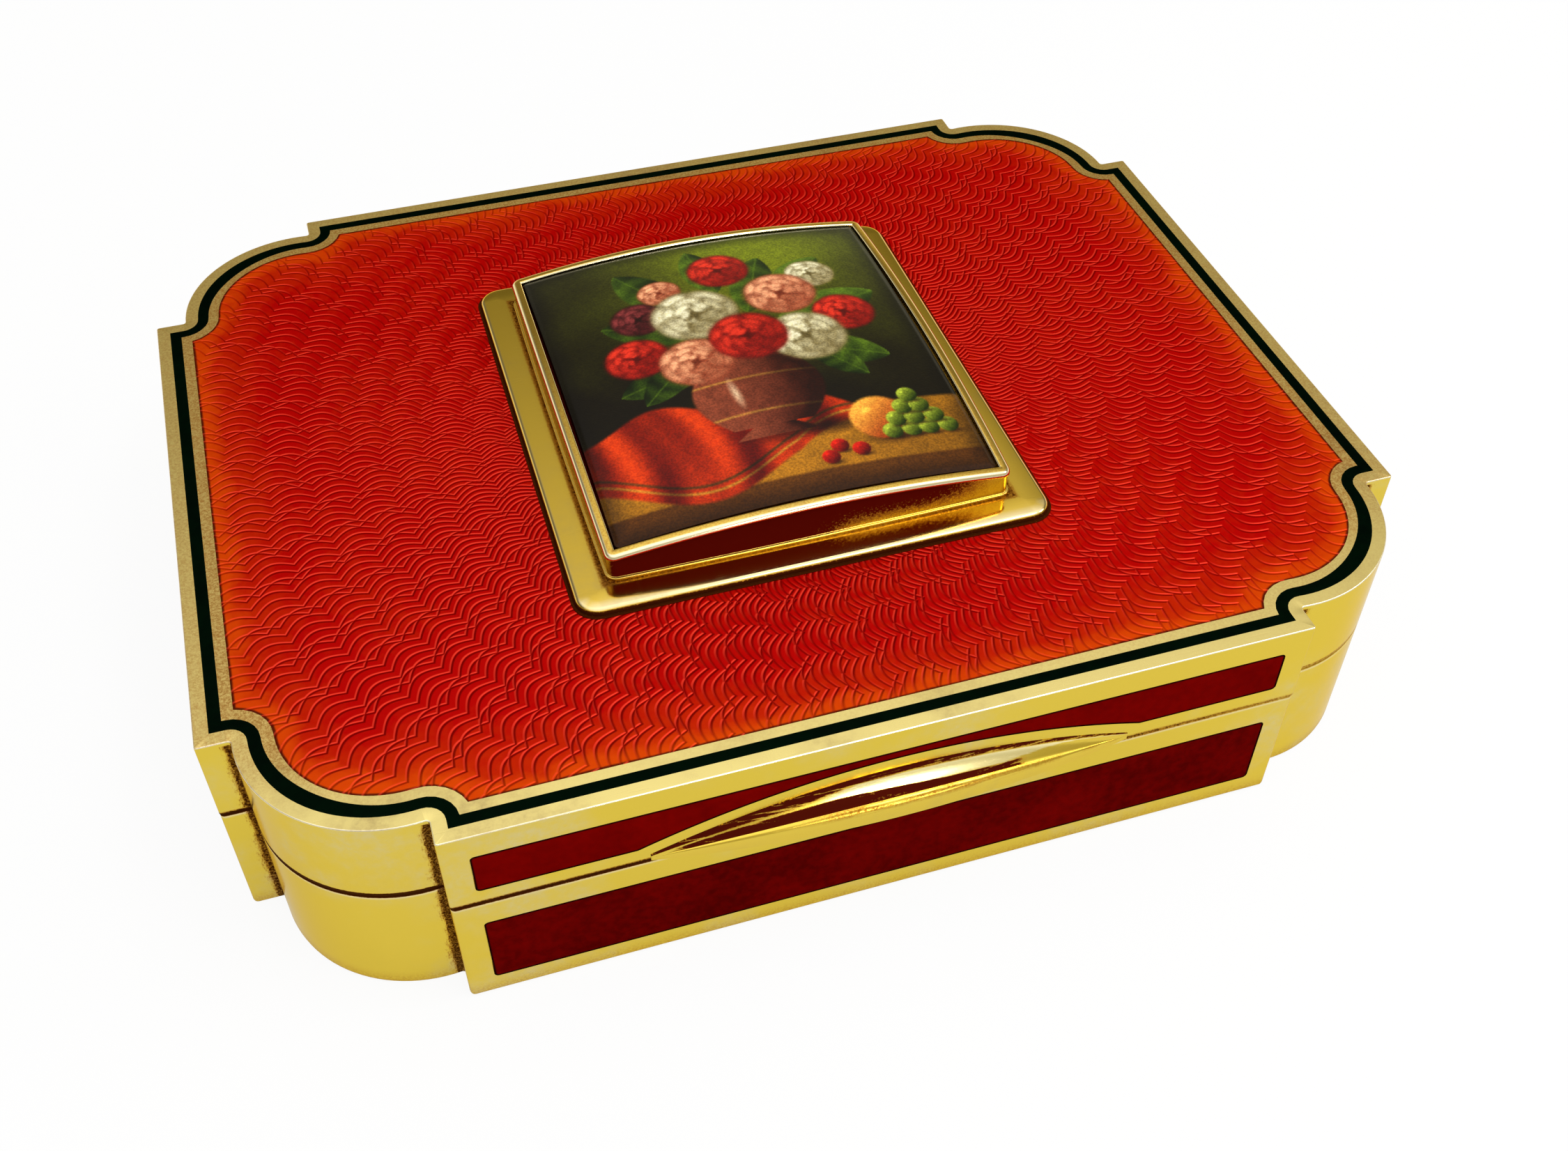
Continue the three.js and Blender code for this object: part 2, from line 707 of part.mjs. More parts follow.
const tableBox = new THREE.Group();
const base = buildBase();
const lid = buildLid();
const mount = buildMount();
const baseHinge = new THREE.Group();
const lidHinge = new THREE.Group();
lid.position.z = baseHeight;
mount.position.z = lidHeight;
baseHinge.position.set(0, hingeY, baseHeight);
lidHinge.position.set(0, hingeY, 0);
addKnuckles(baseHinge, lidHinge);
addPiece(baseHinge, 'hinge_pin', barAlongX(pinRadius, hingeLength, 0, 0), steel);
base.add(baseHinge);
lid.add(mount, lidHinge);
tableBox.add(base, lid);

export default tableBox;
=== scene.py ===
"""Looks of a table box in gilt metal and enamel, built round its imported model.

The box stands on the floor with the middle of its plan at the origin. +X is its long
side, and -Y is the front with the thumbpiece. Sizes are in millimetres, and a mesh
becomes metres when it is made a piece of the scene. Only the studio is in metres.
"""

import logging
import math
from dataclasses import dataclass, replace
from enum import Enum
from typing import Callable, Iterable, Protocol, Sequence

import bmesh
import bpy
import numpy as np
from mathutils import Matrix, Quaternion, Vector

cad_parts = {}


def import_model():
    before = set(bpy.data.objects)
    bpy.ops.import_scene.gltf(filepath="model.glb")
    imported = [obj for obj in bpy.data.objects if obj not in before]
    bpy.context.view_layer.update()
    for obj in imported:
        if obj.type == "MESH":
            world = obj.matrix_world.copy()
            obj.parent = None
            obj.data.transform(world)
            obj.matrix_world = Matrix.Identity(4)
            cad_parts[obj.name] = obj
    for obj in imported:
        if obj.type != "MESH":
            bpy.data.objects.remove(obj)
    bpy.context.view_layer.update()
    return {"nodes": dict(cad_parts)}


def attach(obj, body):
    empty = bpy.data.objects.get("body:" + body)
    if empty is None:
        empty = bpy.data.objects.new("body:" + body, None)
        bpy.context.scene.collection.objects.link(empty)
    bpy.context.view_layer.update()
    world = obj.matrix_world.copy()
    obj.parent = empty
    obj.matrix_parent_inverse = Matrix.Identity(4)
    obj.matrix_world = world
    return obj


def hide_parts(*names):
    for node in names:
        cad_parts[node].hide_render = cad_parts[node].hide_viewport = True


LOG = logging.getLogger("table_box")
MM = 0.001  # metres in a millimetre
WELD = 1e-4  # millimetres within which vertices are merged
SMOOTH_ANGLE = math.radians(33)  # edges that turn by more stay sharp
QUARTER = math.pi / 2
ROUND_FACES = 48  # faces round a bar or a knuckle
WHITE = (1.0, 1.0, 1.0, 1.0)

Colour = tuple[float, float, float, float]
Path = Sequence[tuple[float, float]]
Bend = tuple[float, float, float]
BMesh = bmesh.types.BMesh
Material = bpy.types.Material
Node = bpy.types.Node
Socket = bpy.types.NodeSocket
Tree = bpy.types.NodeTree


class Body(Enum):
    """The two bodies that the hinge joins."""

    BASE = "base"
    LID = "lid"


class Slot(Enum):
    """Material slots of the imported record."""

    GILT = "gilt_metal"
    STEEL = "steel"
    RED = "red_enamel"
    DARK_RED = "dark_red_enamel"
    BLACK = "black_enamel"
    PAINTED = "painted_enamel"


class Face(Enum):
    """The four sides of the box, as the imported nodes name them."""

    FRONT = "front"
    RIGHT = "right"
    BACK = "back"
    LEFT = "left"


def srgb(red: int, green: int, blue: int) -> Colour:
    """Turn a screen colour of 0 to 255 into the linear colour that shaders take.

    Args:
        red: Red of the screen colour.
        green: Green of the screen colour.
        blue: Blue of the screen colour.

    Returns:
        The linear colour, opaque.
    """
    parts = []
    for value in (red / 255, green / 255, blue / 255):
        parts.append(value / 12.92 if value <= 0.04045 else ((value + 0.055) / 1.055) ** 2.4)
    return (parts[0], parts[1], parts[2], 1.0)


def key(place: Iterable[float], digits: int = 3) -> tuple[float, ...]:
    """Round a place so that it can be looked up."""
    return tuple(round(part, digits) for part in place)


def ramp(value: float, low: float, high: float) -> float:
    """Rise smoothly from 0 at low to 1 at high."""
    share = min(1.0, max(0.0, (value - low) / (high - low)))
    return share * share * (3 - 2 * share)


# Shapes


class Plan(Protocol):
    """A closed outline seen from above, which can be drawn in from its edge."""

    def ring(self, inset: float, height: float) -> list[Vector]:
        """Give the outline's points at an inset and a height."""


def arc(centre: Vector, radius: float, start: float, end: float, steps: int) -> list[Vector]:
    """Give plan points on an arc, both ends included.

    Args:
        centre: Middle of the arc.
        radius: Its radius.
        start: Angle of the first point, in radians.
        end: Angle of the last point.
        steps: Number of equal steps.

    Returns:
        The points, at height zero.
    """
    turns = [start + (end - start) * i / steps for i in range(steps + 1)]
    return [Vector((centre.x + radius * math.cos(a), centre.y + radius * math.sin(a), 0)) for a in turns]


def rounded(*bends: Bend, steps: int = 4) -> list[tuple[float, float]]:
    """Round the bends of an open line.

    Args:
        *bends: Points as across, up and the radius of the bend there.
        steps: Steps of each rounding.

    Returns:
        Points of the rounded line.
    """
    path: list[tuple[float, float]] = []
    for i, (across, up, radius) in enumerate(bends):
        here = Vector((across, up))
        if radius == 0 or i in (0, len(bends) - 1):
            path.append((across, up))
            continue
        back = (Vector(bends[i - 1][:2]) - here).normalized()
        ahead = (Vector(bends[i + 1][:2]) - here).normalized()
        half = back.angle(ahead) / 2
        centre = here + (back + ahead).normalized() * (radius / math.sin(half))
        first = here + back * (radius / math.tan(half)) - centre
        last = here + ahead * (radius / math.tan(half)) - centre
        for step in range(steps + 1):
            spoke = first.slerp(last, step / steps) * radius
            path.append((centre.x + spoke.x, centre.y + spoke.y))
    return path


def close_up(bm: BMesh) -> None:
    """Merge the doubles of a mesh and turn its faces outwards."""
    bmesh.ops.remove_doubles(bm, verts=bm.verts[:], dist=WELD)
    bmesh.ops.recalc_face_normals(bm, faces=bm.faces[:])


def shift(bm: BMesh, by: Sequence[float]) -> None:
    """Move a whole mesh."""
    bmesh.ops.translate(bm, verts=bm.verts[:], vec=by)


def skin(rings: Sequence[Sequence[Vector]], capped: bool) -> BMesh:
    """Raise a skin through closed rings by extruding the first one from ring to ring.

    Args:
        rings: Rings with the same number of points, in order.
        capped: Whether the first and last ring are filled.

    Returns:
        The mesh, with doubles merged and faces turned outwards.
    """
    bm = bmesh.new()
    row = [bm.verts.new(point) for point in rings[0]]
    edges = [bm.edges.new(pair) for pair in zip(row, row[1:] + row[:1])]
    first = list(edges)
    for ring in rings[1:]:
        raised = bmesh.ops.extrude_edge_only(bm, edges=edges)["geom"]
        new = {g for g in raised if isinstance(g, bmesh.types.BMVert)}
        old = set(row)
        above = {}
        for vert in new:
            for edge in vert.link_edges:
                if edge.other_vert(vert) in old:
                    above[edge.other_vert(vert)] = vert
        row = [above[vert] for vert in row]
        for vert, point in zip(row, ring):
            vert.co = point
        edges = list({e for v in row for e in v.link_edges if e.other_vert(v) in new})
    if capped:
        bmesh.ops.edgeloop_fill(bm, edges=first)
        bmesh.ops.edgeloop_fill(bm, edges=edges)
    close_up(bm)
    return bm


def sweep(plan: Plan, path: Path, capped: bool = True) -> BMesh:
    """Sweep a profile round a plan.

    Args:
        plan: The outline that the profile follows.
        path: Points of the profile as inset and height.
        capped: Whether the first and last ring are filled. A profile that ends where
            it starts isn't capped.

    Returns:
        The swept mesh.
    """
    return skin([plan.ring(inset, height) for inset, height in path], capped)


def prism(points: Sequence[Vector], along: Vector) -> BMesh:
    """Extrude a flat outline.

    Args:
        points: The outline.
        along: How far and which way it is extruded.

    Returns:
        The closed mesh.
    """
    bm = bmesh.new()
    face = bm.faces.new([bm.verts.new(point) for point in points])
    raised = bmesh.ops.extrude_face_region(bm, geom=[face], use_keep_orig=True)["geom"]
    moved = [g for g in raised if isinstance(g, bmesh.types.BMVert)]
    bmesh.ops.translate(bm, verts=moved, vec=along)
    bmesh.ops.recalc_face_normals(bm, faces=bm.faces[:])
    return bm


def bar_along_x(radius: float, span: float, place: Vector) -> BMesh:
    """Make a round bar along X.

    Args:
        radius: Radius of the bar.
        span: Its length.
        place: Its middle.

    Returns:
        The closed mesh.
    """
    bm = bmesh.new()
    bmesh.ops.create_cone(bm, cap_ends=True, segments=ROUND_FACES, radius1=radius, radius2=radius, depth=span)
    turn = Matrix.Translation(place) @ Matrix.Rotation(QUARTER, 4, "Y")
    bmesh.ops.transform(bm, matrix=turn, verts=bm.verts[:])
    return bm


def turned_along_x(path: Path, place: Vector, steps: int) -> BMesh:
    """Spin a profile round an axis along X.

    Args:
        path: Points of the profile as distance from the axis and place along it.
        place: Point on the axis where the place along it is zero.
        steps: Steps of the full turn.

    Returns:
        The closed mesh.
    """
    bm = bmesh.new()
    verts = [bm.verts.new((along, 0, out)) for out, along in path]
    edges = [bm.edges.new(pair) for pair in zip(verts, verts[1:])]
    bmesh.ops.spin(
        bm,
        geom=verts + edges,
        cent=(0, 0, 0),
        axis=(1, 0, 0),
        dvec=(0, 0, 0),
        angle=2 * math.pi,
        steps=steps,
        use_merge=True,
        use_duplicate=False,
    )
    close_up(bm)
    shift(bm, place)
    return bm


def loose_mesh(bm: BMesh, name: str) -> bpy.types.Mesh:
    """Turn a bmesh into a mesh.

    Args:
        bm: The bmesh, which is freed.
        name: Name of the mesh.

    Returns:
        The mesh.
    """
    mesh = bpy.data.meshes.new(name)
    bm.to_mesh(mesh)
    bm.free()
    return mesh


def linked(name: str, data: bpy.types.ID) -> bpy.types.Object:
    """Make an object and put it in the scene.

    Args:
        name: Name of the object.
        data: Its mesh, light or camera.

    Returns:
        The object.
    """
    thing = bpy.data.objects.new(name, data)
    bpy.context.scene.collection.objects.link(thing)
    return thing


def carved(body: BMesh, tools: Iterable[BMesh]) -> BMesh:
    """Cut tools out of a body.

    Args:
        body: The body, which is used up.
        tools: Closed meshes to take away, also used up.

    Returns:
        What is left of the body.
    """
    target = linked("carving", loose_mesh(body, "carving"))
    cutters = []
    for tool in tools:
        cutter = linked("cutter", loose_mesh(tool, "cutter"))
        modifier = target.modifiers.new("cut", "BOOLEAN")
        modifier.operation = "DIFFERENCE"
        modifier.solver = "EXACT"
        modifier.object = cutter
        cutters.append(cutter)
    graph = bpy.context.evaluated_depsgraph_get()
    result = bmesh.new()
    result.from_mesh(target.evaluated_get(graph).to_mesh())
    for thing in (target, *cutters):
        bpy.data.objects.remove(thing)
    bmesh.ops.remove_doubles(result, verts=result.verts[:], dist=WELD)
    return result


def mark(bm: BMesh, name: str, value: Callable[[Vector], float]) -> None:
    """Write a number on every vertex.

    Args:
        bm: The mesh.
        name: Name of the attribute.
        value: Gives the number from the vertex's place.
    """
    layer = bm.verts.layers.float.get(name) or bm.verts.layers.float.new(name)
    for vert in bm.verts:
        vert[layer] = value(vert.co)


@dataclass(frozen=True)
class BoxPlan:
    """Plan of the box: a rectangle with its corners stepped in and rounded out.

    Near one inset the corners' arcs are drawn further in, by up to the swell, which
    widens the dark line there.
    """

    length: float = 110.0
    width: float = 88.3
    corner_length: float = 16.9
    corner_width: float = 15.1
    step_long: float = 2.25
    step_short: float = 2.6
    corner_sweep: float = math.radians(94)
    reflex_radius: float = 0.3
    tip_radius: float = 0.25
    tip_steps: int = 4
    face_steps: int = 3
    reflex_steps: int = 6
    big_steps: int = 28
    swell: float = 0.28
    swell_inset: float = 2.36
    swell_reach: float = 0.9

    @property
    def half_long(self) -> float:
        """Half the straight part of a long side."""
        return self.length / 2 - self.corner_length

    @property
    def half_short(self) -> float:
        """Half the straight part of a short side."""
        return self.width / 2 - self.corner_width

    @property
    def long_reflex(self) -> Vector:
        """Middle of the small fillet in the step on the long side."""
        return Vector((self.half_long + self.reflex_radius, self.step_long - self.width / 2, 0))

    @property
    def short_reflex(self) -> Vector:
        """Middle of the small fillet in the step on the short side."""
        return Vector((self.length / 2 - self.step_short, -self.half_short - self.reflex_radius, 0))

    def step_face(self, tip: Vector, end: Vector, room: float, inset: float, first: bool) -> list[Vector]:
        """Give the rounded tip of a step and the points on its face.

        Args:
            tip: Sharp tip of the step at this inset.
            end: Where the fillet at the step's bottom starts.
            room: Length that the face has left.
            inset: How far the outline is drawn in.
            first: Whether the step is the one on the long side.

        Returns:
            Points from the tip to the fillet, all at the fillet if no face is left.
        """
        if room <= 0:
            return [end.copy() for _ in range(self.tip_steps + self.face_steps)]
        radius = max(self.tip_radius - inset, 0.0)
        middle = tip + Vector((-radius, radius, 0))
        points = arc(middle, radius, -QUARTER, 0, self.tip_steps)
        if not first:
            points.reverse()
        start = points[-1]
        points += [start.lerp(end, i / self.face_steps) for i in range(1, self.face_steps)]
        return points

    def corner(self, inset: float) -> list[Vector]:
        """Give the front right corner, from the long side's step to the short side's.

        Args:
            inset: How far the outline is drawn in.

        Returns:
            The corner's points, the same number at every inset.
        """
        fillet = inset + self.reflex_radius
        first, second = self.long_reflex, self.short_reflex
        chord = second - first
        radius = chord.length / (2 * math.sin(self.corner_sweep / 2))
        leave = math.atan2(chord.y, chord.x) - self.corner_sweep / 2
        away = leave + QUARTER
        centre = first + Vector((math.cos(away), math.sin(away), 0)) * radius
        room_long, room_short = self.step_long - inset, self.step_short - inset
        start, end = 2 * QUARTER, QUARTER
        if room_long < 0:
            start -= math.asin(-room_long / fillet)
        if room_short < 0:
            end = math.acos(room_short / fillet)
        into = arc(first, fillet, start, away, self.reflex_steps)
        out = arc(second, fillet, away + self.corner_sweep, end, self.reflex_steps)
        turn = away - math.pi
        big = arc(centre, radius - fillet, turn, turn + self.corner_sweep, self.big_steps)
        drawn = self.swell * max(0.0, 1 - abs(inset - self.swell_inset) / self.swell_reach)
        for i, point in enumerate(big):
            point += (centre - point).normalized() * (drawn * math.sin(math.pi * i / self.big_steps) ** 2)
        long_tip = Vector((self.half_long - inset, inset - self.width / 2, 0))
        short_tip = Vector((self.length / 2 - inset, inset - self.half_short, 0))
        lead = self.step_face(long_tip, into[0], room_long, inset, True)
        trail = self.step_face(short_tip, out[-1], room_short, inset, False)
        return lead + into + big[1:-1] + out + trail[::-1]

    def ring(self, inset: float, height: float) -> list[Vector]:
        """Give the whole outline at an inset and a height.

        Args:
            inset: How far it is drawn in.
            height: Its level.

        Returns:
            The points, counterclockwise from the front right corner.
        """
        corner = self.corner(inset)
        right = corner + [Vector((p.x, -p.y, 0)) for p in reversed(corner)]
        ring = right + [Vector((-p.x, -p.y, 0)) for p in right]
        for point in ring:
            point.z = height
        return ring


@dataclass(frozen=True)
class RoundedPlan:
    """Rectangle with round corners whose sides may bow outwards."""

    across: float
    along: float
    corner: float
    bow: float = 0.0
    side_steps: int = 1
    corner_steps: int = 8
    least_radius: float = 0.02
    side_share: float = 0.9

    def ring(self, inset: float, height: float) -> list[Vector]:
        """Give the outline at an inset and a height.

        Args:
            inset: How far it is drawn in.
            height: Its level.

        Returns:
            The points, counterclockwise from the back end of the right side.
        """
        radius = max(self.corner - inset, self.least_radius)
        half_x, half_y = self.across / 2 - inset, self.along / 2 - inset
        corners = []
        for quarter, (sx, sy) in enumerate(((1, 1), (-1, 1), (-1, -1), (1, -1))):
            middle = Vector((sx * (half_x - radius), sy * (half_y - radius), 0))
            start = quarter * QUARTER
            corners.append(arc(middle, radius, start, start + QUARTER, self.corner_steps))
        ring = []
        for here, after in zip(corners, corners[1:] + corners[:1]):
            ring += here
            ring += [here[-1].lerp(after[0], i / self.side_steps) for i in range(1, self.side_steps)]
        for point in ring:
            off_x, off_y = point.x / half_x, point.y / half_y
            point.x += math.copysign(self.bow * (1 - off_y**2), off_x) * (abs(off_x) > self.side_share)
            point.y += math.copysign(self.bow * (1 - off_x**2), off_y) * (abs(off_y) > self.side_share)
            point.z = height
        return ring


# Shader graphs


class Graph:
    """Shader nodes of one material, world or group, placed by short calls."""

    def __init__(self, tree: Tree) -> None:
        """Start with an empty tree.

        Args:
            tree: The node tree to fill.
        """
        self.tree = tree
        tree.nodes.clear()

    def node(self, kind: str, **settings: object) -> Node:
        """Add a node and give it settings.

        Args:
            kind: Blender's name of the node type.
            **settings: Properties of the node.

        Returns:
            The node.
        """
        node = self.tree.nodes.new(kind)
        for name, value in settings.items():
            setattr(node, name, value)
        return node

    def feed(self, socket: Socket, value: object) -> None:
        """Link a socket to an input, or set the input's own value.

        Args:
            socket: The input.
            value: A socket, a number or a colour.
        """
        if isinstance(value, Socket):
            self.tree.links.new(value, socket)
        else:
            socket.default_value = value

    def fill(self, sockets: bpy.types.bpy_prop_collection, **values: object) -> None:
        """Feed sockets by name, with underscores for the spaces in their names."""
        for name, value in values.items():
            self.feed(sockets[name.replace("_", " ")], value)

    def sum(self, operation: str, *values: object, clamp: bool = False) -> Socket:
        """Work out one step of arithmetic.

        Args:
            operation: Operation of the Math node.
            *values: Its inputs, numbers or sockets.
            clamp: Whether the result is kept from 0 to 1.

        Returns:
            The result.
        """
        node = self.node("ShaderNodeMath", operation=operation, use_clamp=clamp)
        for socket, value in zip(node.inputs, values):
            self.feed(socket, value)
        return node.outputs[0]

    def vector(self, operation: str, *values: object) -> Socket:
        """Work out one step of vector arithmetic.

        Args:
            operation: Operation of the Vector Math node.
            *values: Its inputs, vectors or sockets.

        Returns:
            The vector, or the number of a distance or length.
        """
        node = self.node("ShaderNodeVectorMath", operation=operation)
        for socket, value in zip(node.inputs, values):
            self.feed(socket, value)
        return node.outputs["Value" if operation in ("DISTANCE", "LENGTH") else "Vector"]

    def between(
        self, value: object, low: float, high: float, start: object = 0.0, end: object = 1.0
    ) -> Socket:
        """Map a value from one span to another with a soft start and end.

        Args:
            value: The value.
            low: Where the span starts.
            high: Where it ends.
            start: Result at low.
            end: Result at high.

        Returns:
            The mapped value.
        """
        node = self.node("ShaderNodeMapRange", interpolation_type="SMOOTHSTEP")
        self.fill(node.inputs, Value=value, From_Min=low, From_Max=high, To_Min=start, To_Max=end)
        return node.outputs["Result"]

    def mix(self, share: object, first: object, second: object, blend: str = "MIX") -> Socket:
        """Mix two colours.

        Args:
            share: Share of the second colour.
            first: First colour.
            second: Second colour.
            blend: How they are blended.

        Returns:
            The mixed colour.
        """
        node = self.node("ShaderNodeMix", data_type="RGBA", blend_type=blend)
        self.feed(node.inputs[0], share)
        self.feed(node.inputs[6], first)
        self.feed(node.inputs[7], second)
        return node.outputs[2]

    def noise(self, place: object, size: float, detail: float, rough: float) -> Socket:
        """Give soft noise of a real size.

        Args:
            place: Coordinates in metres.
            size: Size of its patches in millimetres.
            detail: Finer layers on top.
            rough: Strength of the finer layers.

        Returns:
            The noise, about 0.5.
        """
        node = self.node("ShaderNodeTexNoise")
        self.fill(node.inputs, Vector=place, Scale=1 / (size * MM), Detail=detail, Roughness=rough)
        return node.outputs["Fac"]

    def object_place(self) -> Socket:
        """Give the object coordinates."""
        return self.node("ShaderNodeTexCoord").outputs["Object"]

    def stretched(self, scale: tuple[float, float, float], turn: float = 0.0) -> Socket:
        """Give object coordinates stretched and turned.

        Args:
            scale: Scale of each axis.
            turn: Turn about Z, in radians.

        Returns:
            The coordinates.
        """
        node = self.node("ShaderNodeMapping")
        self.fill(node.inputs, Vector=self.object_place(), Scale=scale, Rotation=(0, 0, turn))
        return node.outputs[0]

    def attribute(self, name: str) -> Socket:
        """Give the number that the mesh holds under a name."""
        return self.node("ShaderNodeAttribute", attribute_name=name).outputs["Fac"]

    def apart(self, place: object) -> tuple[Socket, ...]:
        """Give the three parts of a vector.

        Args:
            place: The vector.

        Returns:
            Its X, Y and Z.
        """
        node = self.node("ShaderNodeSeparateXYZ")
        self.feed(node.inputs[0], place)
        return tuple(node.outputs)

    def flat(self, x: object, y: object) -> Socket:
        """Join two numbers into a vector in the plan.

        Args:
            x: Its X.
            y: Its Y.

        Returns:
            The vector.
        """
        node = self.node("ShaderNodeCombineXYZ")
        self.feed(node.inputs[0], x)
        self.feed(node.inputs[1], y)
        return node.outputs[0]

    def placed(self, group: Tree, **values: object) -> Node:
        """Place a node group with its own values.

        Args:
            group: The group.
            **values: Inputs, with underscores for the spaces in their names.

        Returns:
            The group's node.
        """
        node = self.node("ShaderNodeGroup", node_tree=group)
        self.fill(node.inputs, **values)
        return node

    def bump(self, height: object, depth: float) -> Socket:
        """Give the normal of a height map.

        Args:
            height: The height, from 0 to 1.
            depth: What the full height stands for, in millimetres.

        Returns:
            The normal.
        """
        node = self.node("ShaderNodeBump")
        self.fill(node.inputs, Distance=depth * MM, Height=height)
        return node.outputs[0]

    def finish_mixed(self, share: object, first: Node, second: Node, output: str) -> None:
        """Mix two shaders into the tree's output.

        Args:
            share: Share of the second shader.
            first: First shader.
            second: Second shader.
            output: Blender's name of the output node.
        """
        mixed = self.node("ShaderNodeMixShader")
        for socket, value in zip(mixed.inputs, (share, first.outputs[0], second.outputs[0])):
            self.feed(socket, value)
        self.feed(self.node(output).inputs["Surface"], mixed.outputs[0])


class SocketKind(Enum):
    """Kinds of group sockets."""

    NUMBER = "NodeSocketFloat"
    COLOUR = "NodeSocketColor"


class Effect(Graph):
    """A node group that more than one finish may place."""

    COLOURS = ("Bright", "Cloudy", "Grime Colour", "Deep", "Thin", "Rim Colour", "Colour")

    def __init__(self, name: str, inputs: Sequence[str], outputs: Sequence[str]) -> None:
        """Make the group and its sockets.

        Args:
            name: Name of the group.
            inputs: Names of its inputs.
            outputs: Names of its outputs.
        """
        tree = bpy.data.node_groups.new(name, "ShaderNodeTree")
        for labels, way in ((inputs, "INPUT"), (outputs, "OUTPUT")):
            for label in labels:
                kind = SocketKind.COLOUR if label in self.COLOURS else SocketKind.NUMBER
                tree.interface.new_socket(label, in_out=way, socket_type=kind.value)
        super().__init__(tree)
        self.given = self.node("NodeGroupInput").outputs
        self.result = self.node("NodeGroupOutput").inputs

    def give(self, **values: object) -> None:
        """Feed the group's outputs by name."""
        self.fill(self.result, **values)


